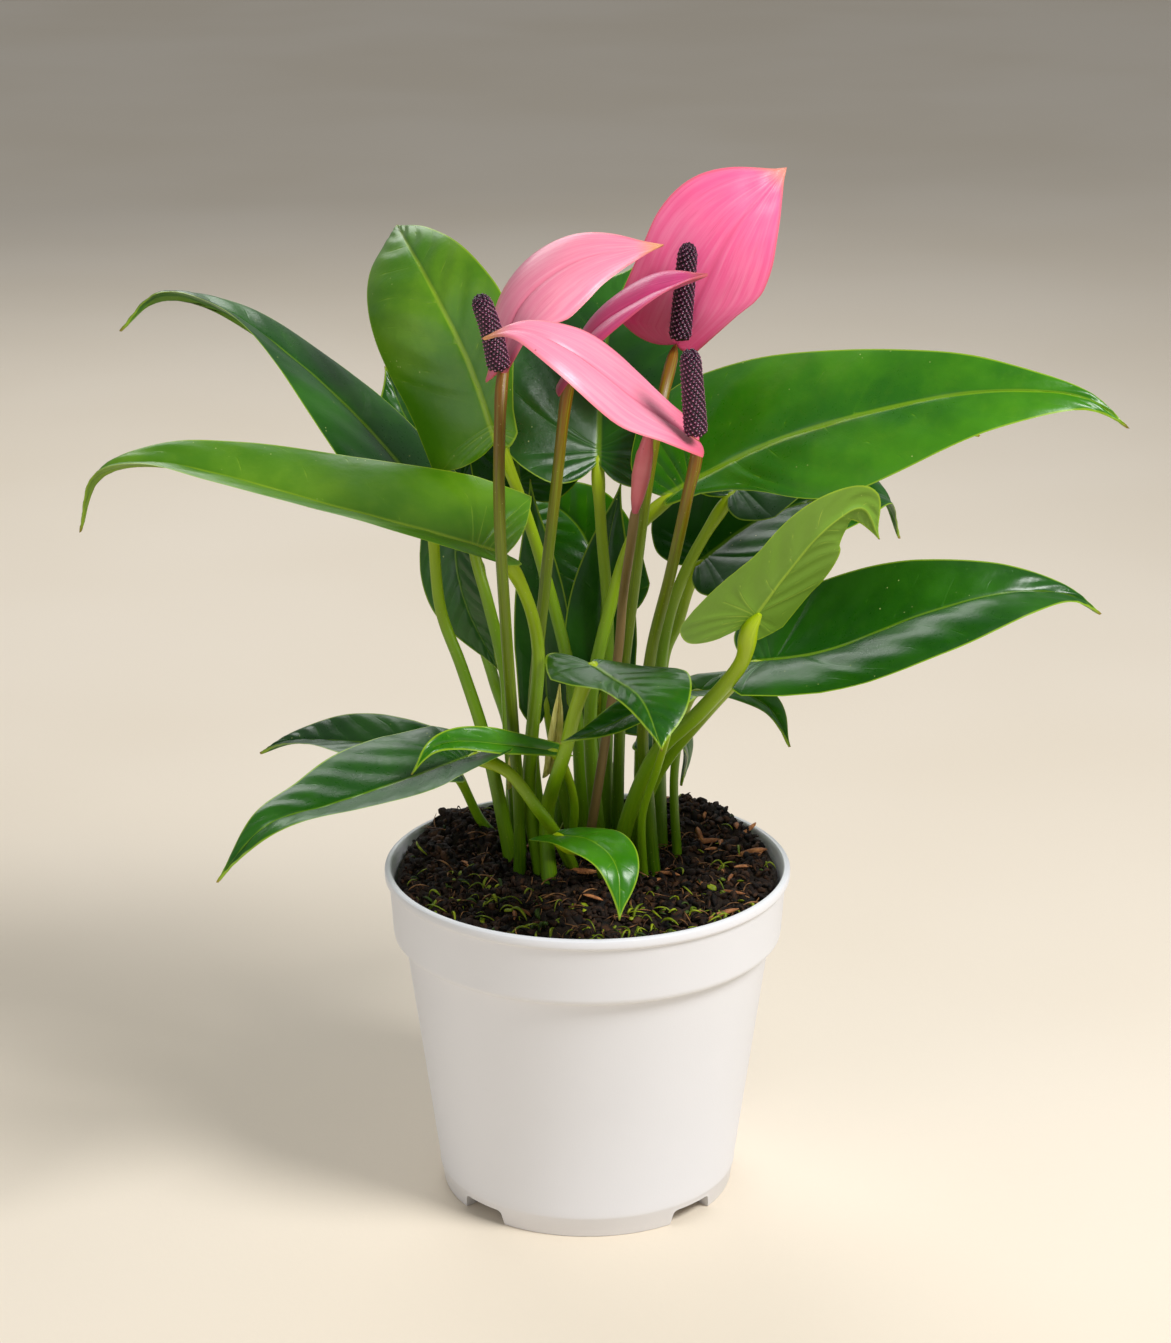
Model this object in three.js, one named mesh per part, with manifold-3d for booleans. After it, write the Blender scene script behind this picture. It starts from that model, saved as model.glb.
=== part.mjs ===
// A flowering pot plant, a flamingo flower (anthurium), in a round white nursery pot.
// Millimetres, +Z up. The origin is the middle of the pot on the plane it stands on,
// and the plant's fullest side faces -Y.

import * as THREE from 'three';
import { mergeVertices } from 'three/addons/utils/BufferGeometryUtils.js';
import Module from 'manifold-3d';

const wasm = await Module();
wasm.setup();

// ---------------------------------------------------------------- driving dimensions

const gap = 0.4; // left between neighbouring pieces

const pot = {
  height: 101,
  rimRadius: 60,
  lipHeight: 3.2,
  collarHeight: 21,
  collarRadius: 57.6,
  bodyRadius: 54.4,
  baseRadius: 43.6,
  wall: 1.3,
  floorHeight: 6,
  footWidth: 4,
  notchHeight: 4.6,
  notchWidth: 15,
  drainRadius: 3.2,
  drainCircle: 27,
};

const mix = {
  level: 96.2,
  wallDip: 1.2,
  // mounds of potting mix: x, y, height, spread
  mounds: [
    [34, 38, 8, 13],
    [-38, 36, 7.5, 13],
    [2, 40, 3, 18],
    [50, 14, 2.5, 14],
    [-50, 14, 2.5, 14],
    [20, -36, -2.5, 16],
    [-28, -34, -2, 16],
  ],
};

const blade = { thickness: 0.9, spathe: 1.0, rows: 11, columns: 3 };
const stalkSides = 8;

// Outline of one half of a blade, from the notch at the stalk to the tip. The first
// number runs along the midrib (as a share of its length, or of the lobe's length
// where it is negative), and the second across it (as a share of the half width).
const leafOutline = [
  [0, 0], [-0.75, 0.2], [-1, 0.48], [-0.5, 0.78], [0.1, 0.97], [0.24, 1],
  [0.4, 0.9], [0.56, 0.7], [0.72, 0.44], [0.86, 0.18], [0.95, 0.05], [1, 0],
];
const spatheOutline = [
  [0, 0], [-0.8, 0.22], [-1, 0.5], [-0.5, 0.82], [0.1, 0.99], [0.28, 1],
  [0.46, 0.86], [0.64, 0.6], [0.8, 0.31], [0.9, 0.13], [0.96, 0.05], [1, 0],
];

// Every leaf: `root` is where its stalk leaves the potting mix, `mids` are points along the
// stalk, `spine` the midrib from the stalk to the tip, `face` the way the upper side faces,
// and `stalk` the stalk's diameters at its foot and its top. For the left and the right half,
// `half` is the width, `fold` and `curl` are angles in degrees, `lobe` is the lobe's length
// behind the joint, `full` below 1 moves the widest place towards the tip, and `waist` below 1
// narrows the foot of the blade. Heights are measured from the pot's rim. Where a leaf
// hangs over it (`overRim`), the last two points of its spine are also measured outwards from it.
const leaves = {
  leaf_01: {
    tone: 'dark', half: [24, 17], face: [0.47, -0.5, 0.73], twist: 37,
    fold: [14, 9], curl: [10, 10], full: [1.22, 0.65], lobe: [6.0, 6.0],
    root: [-22, 9], stalk: [4.8, 3.2],
    mids: [[-30, 8, 35], [-37, 12, 57], [-43, 16, 73]],
    spine: [[-46, 18, 105], [-63, 32, 122], [-84, 45, 139], [-108, 55, 154], [-127, 59, 158],
      [-140, 59, 147]],
  },
  leaf_02: {
    tone: 'light', half: [27, 19], face: [-0.35, -0.85, 0.3], twist: 15,
    fold: [2, 7], curl: [40, 6], full: [0.64, 0.9], lobe: [3, 3], waist: [1, 0.4],
    root: [-1, 17], stalk: [4.8, 3.2],
    mids: [[-4, 10, 49], [-13, 8, 89], [-20, 6, 112]],
    spine: [[-26, 5, 127], [-34, 14, 148], [-45, 28, 167], [-53, 48, 176], [-57, 70, 177]],
  },
  leaf_03: {
    tone: 'light', half: [16.9, 26.6], face: [0.25, 0.06, 0.97], twist: 0,
    fold: [5, 41], curl: [0, 17], full: [0.93, 1.3], lobe: [6.0, 2.0],
    root: [-13, 1], stalk: [5, 3.4],
    mids: [[-17, -4, 21], [-16, -12, 43], [-14, -16, 71], [-17, -19, 87]],
    spine: [[-23, -22, 101], [-43, -18, 106], [-73, -10, 112], [-104, 0, 118], [-125, 7, 120],
      [-141, 12, 115], [-148, 15, 97]],
  },
  leaf_04: {
    tone: 'mid', half: [33, 26], face: [-0.25, -0.6, 0.75], twist: 0,
    fold: [8, 8], curl: [10, 15], full: [1.5, 0.85], lobe: [8, 1], waist: [1, 0.15],
    root: [4, 10], stalk: [5, 3.4],
    mids: [[1, 2, 47], [5, -2, 73], [14, -4, 103]],
    spine: [[22, -8, 114], [33, -11, 121], [52, -16, 132], [84, -24, 144], [110, -30, 150],
      [136, -34, 149], [148, -35, 141]],
  },
  leaf_05: {
    tone: 'dark', half: [24.7, 23.9], face: [-0.23, -0.11, 0.97], twist: 27,
    fold: [16, 21], curl: [-16, 40], full: [1.07, 0.75], lobe: [6.0, 6.0],
    root: [15, 16], stalk: [5, 3.8],
    mids: [[15, 10, 6], [20, 0, 27], [30, -9, 45]],
    spine: [[47, -18, 68], [66, -22, 72], [97, -24, 85], [119, -22, 90], [136, -18, 88],
      [146, -16, 82]],
  },
  leaf_06: {
    tone: 'pale', half: [16.0, 16.0], face: [-0.4, 0.7, 0.5], twist: 0,
    fold: [10, 10], curl: [20, 20], full: [0.85, 0.85], lobe: [6, 10], waist: [1, 1.9],
    root: [9, 6], stalk: [5.2, 4.2],
    mids: [[11, -2, 11], [20, -16, 40], [32, -28, 57], [43, -40, 76]],
    spine: [[44, -44, 88], [54, -48, 104], [64, -50, 117], [74, -46, 122], [80, -40, 111]],
  },
  leaf_07: {
    tone: 'dark', half: [22.0, 22.0], face: [-0.3, -0.6, 0.7], twist: 0,
    fold: [12, 12], curl: [0, 0], full: [0.85, 0.85], lobe: [6, 6],
    root: [22, 26], stalk: [4.4, 3.2],
    mids: [[23, 25, 56], [27, 26, 66]],
    spine: [[32, 28, 83], [51, 38, 94], [73, 50, 98], [89, 60, 96], [96, 64, 81]],
  },
  leaf_08: {
    tone: 'dark', half: [20.0, 20.0], face: [-0.2, -0.6, 0.7], twist: 0,
    fold: [12, 12], curl: [0, 0], full: [0.85, 0.85], lobe: [6, 6],
    root: [22, 18], stalk: [4.4, 3.2],
    mids: [[22, 16, 59], [28, 14, 84]],
    spine: [[41, 18, 107], [63, 38, 119], [92, 62, 120], [121, 78, 110]],
  },
  leaf_09: {
    tone: 'dark', half: [28.0, 28.0], face: [0, -0.8, 0.5], twist: 0,
    fold: [12, 12], curl: [0, 0], full: [0.85, 0.85], lobe: [8, 8],
    root: [5, 18], stalk: [4.4, 3.2],
    mids: [[6, 14, 46], [6, 15, 73], [4, 17, 98]],
    spine: [[3, 18, 117], [4, 32, 135], [7, 50, 152], [14, 72, 164]],
  },
  leaf_10: {
    tone: 'dark', half: [14.4, 19.5], face: [0, -0.8, 0.5], twist: 0,
    fold: [12, 12], curl: [0, 0], full: [0.85, 0.85], lobe: [6, 6],
    root: [-9, 32], stalk: [4.4, 3.2],
    mids: [[-8, 38, 57]],
    spine: [[-20, 36, 104], [-22, 48, 116], [-26, 64, 128], [-30, 80, 138]],
  },
  leaf_11: {
    tone: 'dark', half: [9.0, 9.0], face: [-0.2, -0.9, 0.3], twist: 0,
    fold: [12, 12], curl: [0, 0], full: [0.85, 0.85], lobe: [6, 6],
    root: [-4, 26], stalk: [4.4, 3.2], joined: true,
    mids: [],
    spine: [[-12, 25, 40], [-13, 27, 63], [-15, 29, 88], [-17, 31, 109]],
  },
  leaf_12: {
    tone: 'mid', half: [15.0, 15.0], face: [0, -0.9, 0.3], twist: 0,
    fold: [12, 12], curl: [0, 0], full: [0.85, 0.85], lobe: [6, 6],
    root: [0, 34], stalk: [4.4, 3.2],
    mids: [[5, 38, 44]],
    spine: [[6, 42, 68], [-2, 52, 87], [-13, 64, 93], [-24, 74, 92]],
  },
  leaf_13: {
    tone: 'dark', half: [11.0, 11.0], face: [0, -0.95, 0.2], twist: 0,
    fold: [12, 12], curl: [0, 0], full: [0.85, 0.85], lobe: [6, 6],
    root: [9, 24], stalk: [4.4, 3.2],
    mids: [],
    spine: [[4, 18, 44], [4, 22, 68], [6, 26, 89], [10, 28, 109]],
  },
  leaf_14: {
    tone: 'dark', half: [13.0, 13.0], face: [-0.5, -0.7, 0.4], twist: 0,
    fold: [12, 12], curl: [0, 0], full: [0.85, 0.85], lobe: [6, 6],
    root: [-23, 20], stalk: [4.4, 3.2],
    mids: [[-23, 18, 34], [-28, 32, 46], [-35, 42, 68]],
    spine: [[-37, 32, 94], [-39, 32, 86], [-36, 28, 71], [-26, 24, 51]],
  },
  leaf_15: {
    tone: 'dark', half: [18.9, 22.1], face: [-0.12, 0.04, 0.99], twist: -14,
    fold: [12, 17], curl: [0, 0], full: [0.87, 1.16], lobe: [6.0, 3.5],
    root: [-3, 5], stalk: [4.2, 3.4],
    mids: [[-9, -12, 13], [-14, -23, 25], [-23, -23, 37]],
    spine: [[-32, -20, 41], [-53, -38, 39], [-71, -56, 39], [-88, -70, 38], [-101, -78, 25]],
  },
  leaf_16: {
    tone: 'dark', half: [14.4, 11.5], face: [-0.04, -0.34, 0.94], twist: 9,
    fold: [20, 20], curl: [0, 0], full: [0.84, 0.6], lobe: [6.0, 6.0],
    root: [-27, 25], stalk: [3.4, 2.6],
    mids: [[-32, 23, 4]],
    spine: [[-40, 20, 22], [-56, 26, 26], [-75, 36, 25], [-91, 44, 22], [-101, 48, 17]],
  },
  leaf_17: {
    tone: 'mid', half: [3.6, 4.6], face: [0, -0.75, 0.65], twist: 0,
    fold: [20, 20], curl: [10, 10], full: [0.55, 0.55], lobe: [6, 6], waist: [0.6, 0.6],
    root: [-6, 11], stalk: [3, 2.4],
    mids: [[-4, -8, 23]],
    spine: [[-9, -20, 42], [-22, -29, 47], [-37, -37, 51], [-44, -44, 51], [-49, -48, 45]],
  },
  leaf_18: {
    tone: 'mid', half: [8.0, 8.0], face: [0, -0.2, 1], twist: 0,
    fold: [15, 15], curl: [0, 0], full: [0.85, 0.85], lobe: [6, 6],
    root: [27, 11], stalk: [3, 2.4],
    mids: [[26, 8, 28]],
    spine: [[31, 4, 52], [43, 1, 53], [53, -3, 49], [59, -8, 39]],
  },
  leaf_19: {
    tone: 'dark', half: [17, 6.5], face: [0, -0.42, 0.9], twist: 0,
    fold: [-4, 6], curl: [-8, 8], full: [0.5, 0.6], lobe: [2, 16], waist: [0.3, 2.1],
    root: [-11, -5], stalk: [5, 3.8],
    mids: [[-12, -5, 15], [-10, -16, 29], [-8, -27, 39], [-6, -31, 47], [-3, -32, 60]],
    spine: [[1, -31, 72], [7, -44, 72], [15, -64, 72], [20, -78, 63]],
  },
  leaf_20: {
    tone: 'mid', half: [9.6, 10.4], face: [-0.16, 0.11, 0.98], twist: 0,
    fold: [0, 7], curl: [0, 0], full: [0.66, 0.9], lobe: [3.9, 4.0],
    root: [6, 0], stalk: [4.4, 3.2], joined: true, overRim: true,
    mids: [[2, -16, 9], [-6, -29, 16]],
    spine: [[-9, -30, 20], [1, -42, 23], [8, 6, 20], [9, -2, 7]],
  },
  leaf_21: {
    tone: 'dark', half: [16.0, 16.0], face: [0, -0.7, 0.6], twist: 0,
    fold: [12, 12], curl: [0, 0], full: [0.85, 0.85], lobe: [6, 6],
    root: [-20, 14], stalk: [4.4, 3.2],
    mids: [[-23, 8, 37], [-24, 9, 55], [-29, 11, 77], [-33, 16, 91], [-34, 19, 102]],
    spine: [[-36, 46, 101], [-48, 58, 109], [-56, 70, 119], [-62, 78, 132]],
  },
  leaf_22: {
    tone: 'dark', half: [9.0, 9.0], face: [0, -0.6, 0.8], twist: 0,
    fold: [12, 12], curl: [0, 0], full: [0.85, 0.85], lobe: [6, 6],
    root: [17, 36], stalk: [4.4, 3.2], joined: true,
    mids: [[16, 35, 17]],
    spine: [[17, 34, 28], [25, 38, 30], [30, 40, 22], [29, 40, 9]],
  },
  leaf_23: {
    tone: 'dark', half: [7.5, 7.5], face: [0, -0.3, 1], twist: 0,
    fold: [12, 12], curl: [0, 0], full: [0.85, 0.85], lobe: [6, 6],
    root: [17, -2], stalk: [2.6, 2.2], joined: true,
    mids: [[16, -12, 19], [20, -23, 38], [23, -33, 54]],
    spine: [[24, -38, 64], [15, -39, 61], [3, -39, 55], [-8, -38, 51]],
  },
};

// The flowers: the same, with the spadix as the points of its axis.
const flowers = {
  flower_1: {
    tone: 'pink', half: [21, 16], face: [0, -1, 0.2], twist: 0,
    fold: [0, 0], curl: [20, 20], full: [0.47, 0.6], lobe: [3, 1], waist: [1, 0.4],
    root: [9, 16], stalk: [3.6, 3.2], spadixRadius: 3.1,
    mids: [[10, 6, 49], [14, -6, 92], [17, -15, 121], [21, -10, 143]],
    spine: [[25, 6, 155], [32, 3, 171], [41, 5, 188], [56, 14, 204]],
    spadix: [[26, 1, 158], [27, -2, 172], [28, -5, 186]],
  },
  flower_2: {
    tone: 'pink', half: [20.9, 16.0], face: [-0.8, -0.46, 0.37], twist: 51,
    fold: [-4, 11], curl: [49, 27], full: [1.09, 0.85], lobe: [4.0, 0.5], waist: [1, 0.35],
    root: [-20, 1], stalk: [3.6, 3.2], spadixRadius: 3.1,
    mids: [[-20, -8, 23], [-21, -16, 44], [-23, -34, 89], [-24, -42, 117], [-24, -38, 139]],
    spine: [[-24, -30, 156], [-18, -25, 173], [-3, -20, 184], [21, -16, 188]],
    spadix: [[-24, -35, 158], [-26, -38, 169], [-29, -41, 179]],
  },
  flower_3: {
    tone: 'pink', half: [13.0, 15.4], face: [0.61, -0.22, 0.76], twist: -26,
    fold: [12, 4], curl: [37, 13], full: [0.71, 0.92], lobe: [1, 0.5], waist: [0.6, 0.6],
    root: [20, 3], stalk: [3.6, 3.2], spadixRadius: 3.1,
    mids: [[18, -3, 21], [16, -9, 41], [18, -20, 71], [23, -36, 100], [27, -45, 124]],
    spine: [[30, -46, 140], [14, -52, 152], [-5, -58, 168], [-18, -56, 173], [-28, -52, 170]],
    spadix: [[29, -52, 144], [28, -55, 156], [27, -58, 168]],
  },
  flower_4: {
    tone: 'rose', half: [15.0, 12.9], face: [-0.86, 0.0, 0.51], twist: 9,
    fold: [34, 33], curl: [77, 62], full: [0.7, 0.84], lobe: [1.0, 1.0],
    root: [-12, 11], stalk: [3.6, 3.2], spadixRadius: 1.4,
    mids: [[-16, 2, 38], [-12, -4, 88], [-9, -5, 115]],
    spine: [[-6, -4, 147], [3, -8, 162], [16, -12, 172], [33, -16, 180]],
    spadix: [[-8, -6, 151], [-6.5, -7, 155], [-5, -8, 160]],
  },
};

// A flower still rolled up in its spathe.
const bud = {
  root: [-1, 11], stalk: [3, 2.6],
  mids: [[3, -4, 24], [9, -9, 69], [10, -14, 85], [12, -31, 107]],
  spine: [[13, -38, 118], [15, -40, 131], [17, -42, 145]],
};

// Papery sheaths left between the stalks.
const sheaths = {
  sheath_1: {
    half: [4.5, 4.5], face: [0, -1, 0.1], twist: 0,
    fold: [30, 30], curl: [-60, -60], full: [1, 1], lobe: [1, 1],
    spine: [[-11, -9, 31], [-9, -9, 45], [-8, -10, 59]],
  },
  sheath_2: {
    half: [3.5, 3.5], face: [0, -1, 0.1], twist: 0,
    fold: [30, 30], curl: [-60, -60], full: [1, 1], lobe: [1, 1],
    spine: [[-22, 3, 23], [-22, 3, 29], [-22, 3, 35]],
  },
};

// ---------------------------------------------------------------- places tied to the pot

const plant = [...Object.values(leaves), ...Object.values(flowers), bud, ...Object.values(sheaths)];
for (const piece of plant) {
  for (const key of ['spine', 'mids', 'spadix']) {
    piece[key] = piece[key]?.map(([x, y, z]) => [x, y, z + pot.height]);
  }
  if (piece.overRim) piece.spine.slice(-2).forEach((point) => { point[1] -= pot.rimRadius; });
}

// ---------------------------------------------------------------- materials

const finish = (color, roughness) => ({ color, roughness, metalness: 0 });
const finishes = {
  pot: finish('#e6e4e2', 0.45),
  mix: finish('#2b1c12', 0.95),
  light: finish('#6f9e2a', 0.35),
  mid: finish('#3c8a1e', 0.3),
  dark: finish('#1c5a1c', 0.3),
  pale: finish('#8fb63c', 0.4),
  stalk: finish('#7da02a', 0.4),
  flowerStalk: finish('#7c6a34', 0.4),
  pink: finish('#e07f95', 0.35),
  rose: finish('#b8325a', 0.35),
  spadix: finish('#3a1030', 0.5),
  sheath: finish('#b9a860', 0.6),
};

// ---------------------------------------------------------------- shape helpers

const vector = ([x, y, z]) => new THREE.Vector3(x, y, z);

// Merges a closed geometry's shared vertices, drops the empty triangles at its poles
// and turns its faces outwards.
function weld(geometry) {
  const bare = geometry.clone();
  bare.deleteAttribute('normal');
  bare.deleteAttribute('uv');
  const merged = mergeVertices(bare, 1e-3);
  const position = merged.attributes.position;
  const triangles = [];
  const [a, b, c] = [new THREE.Vector3(), new THREE.Vector3(), new THREE.Vector3()];
  let volume = 0;
  for (let i = 0; i < merged.index.count; i += 3) {
    const corner = [0, 1, 2].map((k) => merged.index.getX(i + k));
    if (new Set(corner).size < 3) continue;
    triangles.push(corner);
    a.fromBufferAttribute(position, corner[0]);
    b.fromBufferAttribute(position, corner[1]);
    c.fromBufferAttribute(position, corner[2]);
    volume += a.dot(b.cross(c));
  }
  if (volume < 0) triangles.forEach((corner) => corner.reverse());
  merged.setIndex(triangles.flat());
  return merged;
}

function toSolid(geometry) {
  const welded = weld(geometry);
  return new wasm.Manifold(new wasm.Mesh({
    numProp: 3,
    vertProperties: new Float32Array(welded.attributes.position.array),
    triVerts: new Uint32Array(welded.index.array),
  }));
}

function fromSolid(solid) {
  const mesh = solid.getMesh();
  const geometry = new THREE.BufferGeometry();
  geometry.setAttribute('position', new THREE.BufferAttribute(mesh.vertProperties, 3));
  geometry.setIndex(Array.from(mesh.triVerts));
  return geometry;
}

// Frames along a curve, each carried on from the last without turning about the curve,
// and then turned by `twist` degrees in all.
function framesAlong(curve, face, twist = 0, count = 40) {
  const frames = [];
  let normal = face.clone();
  for (let i = 0; i <= count; i += 1) {
    const u = i / count;
    const tangent = curve.getTangentAt(u).normalize();
    normal = normal.clone().addScaledVector(tangent, -normal.dot(tangent)).normalize();
    const turned = normal.clone().applyAxisAngle(tangent, THREE.MathUtils.degToRad(twist * u));
    frames.push({ point: curve.getPointAt(u), tangent, normal: turned });
  }
  return (u) => {
    const place = THREE.MathUtils.clamp(u, 0, 1) * count;
    const i = Math.min(Math.floor(place), count - 1);
    const mixed = {};
    for (const key of ['point', 'tangent', 'normal']) {
      mixed[key] = frames[i][key].clone().lerp(frames[i + 1][key], place - i);
    }
    mixed.tangent.normalize();
    mixed.normal.addScaledVector(mixed.tangent, -mixed.normal.dot(mixed.tangent)).normalize();
    mixed.side = mixed.tangent.clone().cross(mixed.normal);
    return mixed;
  };
}

const throughPoints = (points) => (
  new THREE.CatmullRomCurve3(points.map(vector), false, 'centripetal')
);

// A leaf or spathe blade: a thin closed shell along its midrib. Each half leaves the
// midrib at its `fold` angle and bends back by its `curl` angle on the way to the margin.
function bladeGeometry(leaf, outline, thickness) {
  const curve = throughPoints(leaf.spine);
  const length = curve.getLength();
  const frameAt = framesAlong(curve, vector(leaf.face).normalize(), leaf.twist);
  const margin = new THREE.SplineCurve(outline.map(([a, b]) => new THREE.Vector2(a, b)));
  const { rows, columns } = blade;

  const surface = (along, across, half, lift) => {
    const side = half === 0 ? -1 : 1;
    const halfWidth = leaf.half[half];
    const fold = THREE.MathUtils.degToRad(leaf.fold[half]);
    const bend = THREE.MathUtils.degToRad(leaf.curl[half]) / halfWidth;
    const angle = fold - bend * across;
    const straight = Math.abs(bend) < 1e-6;
    const out = straight ? across * Math.cos(fold) : (Math.sin(fold) - Math.sin(angle)) / bend;
    const up = straight ? across * Math.sin(fold) : (Math.cos(angle) - Math.cos(fold)) / bend;
    const frame = frameAt(along / length);
    return frame.point.clone()
      .addScaledVector(frame.tangent, Math.min(along, 0))
      .addScaledVector(frame.side, side * (out - lift * Math.sin(angle)))
      .addScaledVector(frame.normal, up + lift * Math.cos(angle));
  };

  const marginAt = (row, half) => {
    const edge = margin.getPoint(row / rows);
    const along = edge.x < 0 ? edge.x * leaf.lobe[half] : edge.x ** leaf.full[half] * length;
    const waist = leaf.waist ? leaf.waist[half] : 1;
    const filled = waist + (1 - waist) * THREE.MathUtils.smoothstep(along, 0, 0.42 * length);
    return [along, Math.max(edge.y, 0) * leaf.half[half] * filled];
  };

  const ribAt = (row, along, across) => (
    THREE.MathUtils.clamp(along - 0.4 * across, length * 0.014 * row, length * 0.99)
  );

  const points = [surface(0, 0, 1, 0), surface(length, 0, 1, 0)];
  const [joint, tip] = [0, 1];
  const sheets = [[], []];
  for (let row = 1; row < rows; row += 1) {
    const lines = [[], []];
    for (let column = -columns; column <= columns; column += 1) {
      const half = column < 0 ? 0 : 1;
      const [along, across] = marginAt(row, half);
      const rib = ribAt(row, along, across);
      const share = Math.abs(column) / columns;
      const spot = [THREE.MathUtils.lerp(rib, along, share), across * share, half];
      const edge = Math.abs(column) === columns;
      for (const sheet of [0, 1]) {
        if (edge && sheet === 1) {
          lines[1].push(lines[0][lines[0].length - 1]);
          continue;
        }
        const lift = edge ? 0 : (sheet === 0 ? 0.5 : -0.5) * thickness;
        lines[sheet].push(points.length);
        points.push(surface(...spot, lift));
      }
    }
    sheets.forEach((sheet, k) => sheet.push(lines[k]));
  }

  const triangles = [];
  sheets.forEach((sheet, k) => {
    const add = (a, b, c) => triangles.push(...(k === 0 ? [a, b, c] : [c, b, a]));
    for (let i = 0; i < columns * 2; i += 1) {
      add(joint, sheet[0][i + 1], sheet[0][i]);
      for (let row = 0; row < sheet.length - 1; row += 1) {
        const [near, far] = [sheet[row], sheet[row + 1]];
        add(near[i], near[i + 1], far[i + 1]);
        add(near[i], far[i + 1], far[i]);
      }
      add(tip, sheet[sheet.length - 1][i], sheet[sheet.length - 1][i + 1]);
    }
  });

  const geometry = new THREE.BufferGeometry();
  geometry.setAttribute('position', new THREE.Float32BufferAttribute(
    points.flatMap((point) => point.toArray()),
    3,
  ));
  geometry.setIndex(triangles);
  return weld(geometry);
}

// A turned profile bent along a curve: `profile` holds [share of the length, radius].
function bentGeometry(points, profile, sides) {
  const curve = throughPoints(points);
  const length = curve.getLength();
  const turned = new THREE.LatheGeometry(
    [[0, 0], ...profile, [1, 0]].map(([share, radius]) => new THREE.Vector2(radius, share)),
    sides,
  );
  const frameAt = framesAlong(curve, new THREE.Vector3(0.3, -0.8, 0.2));
  const position = turned.attributes.position;
  for (let i = 0; i < position.count; i += 1) {
    const frame = frameAt(position.getY(i));
    const moved = frame.point
      .addScaledVector(frame.side, position.getX(i))
      .addScaledVector(frame.normal, position.getZ(i));
    position.setXYZ(i, moved.x, moved.y, moved.z);
  }
  return { geometry: weld(turned), length };
}

function mixTop(x, y) {
  const share = Math.hypot(x, y) / pot.rimRadius;
  let top = mix.level - mix.wallDip * share ** 4;
  for (const [cx, cy, height, spread] of mix.mounds) {
    top += height * Math.exp(-((x - cx) ** 2 + (y - cy) ** 2) / (2 * spread ** 2));
  }
  return top;
}

// Where a stalk of this radius starts, just clear of the potting mix.
function rootPoint([x, y], radius, next) {
  let top = mixTop(x, y);
  for (let i = 0; i < 8; i += 1) {
    const turn = (i * Math.PI) / 4;
    top = Math.max(top, mixTop(x + radius * Math.cos(turn), y + radius * Math.sin(turn)));
  }
  const lean = Math.hypot(next[0] - x, next[1] - y);
  const tilt = Math.atan2(lean, next[2] - top);
  return [x, y, top + gap + 0.3 + radius * Math.sin(tilt)];
}

// Where a stalk ends, just behind the blade it carries.
function jointPoint(leaf, before, radius, thickness) {
  const joint = vector(leaf.spine[0]);
  const tangent = throughPoints(leaf.spine).getTangentAt(0);
  const normal = vector(leaf.face);
  normal.addScaledVector(tangent, -normal.dot(tangent)).normalize();
  const arrive = joint.clone().sub(vector(before)).normalize();
  const lean = Math.sqrt(Math.max(0, 1 - arrive.dot(normal) ** 2));
  const away = arrive.dot(normal) > -0.05 ? -1 : 1;
  return joint.addScaledVector(normal, away * (gap + thickness / 2 + radius * lean)).toArray();
}

const stalkShares = [0, 0.12, 0.26, 0.4, 0.54, 0.68, 0.8, 0.88, 0.94, 1];

function stalkGeometry(points, [thick, thin], knee = 1.25) {
  const profile = stalkShares.map((share) => {
    const swell = 1 + (knee - 1) * Math.exp(-(((share - 0.92) / 0.06) ** 2));
    return [share, (THREE.MathUtils.lerp(thick, thin, Math.sqrt(share)) / 2) * swell];
  });
  return bentGeometry(points, profile, stalkSides).geometry;
}

// ---------------------------------------------------------------- the pot and its mix

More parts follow.
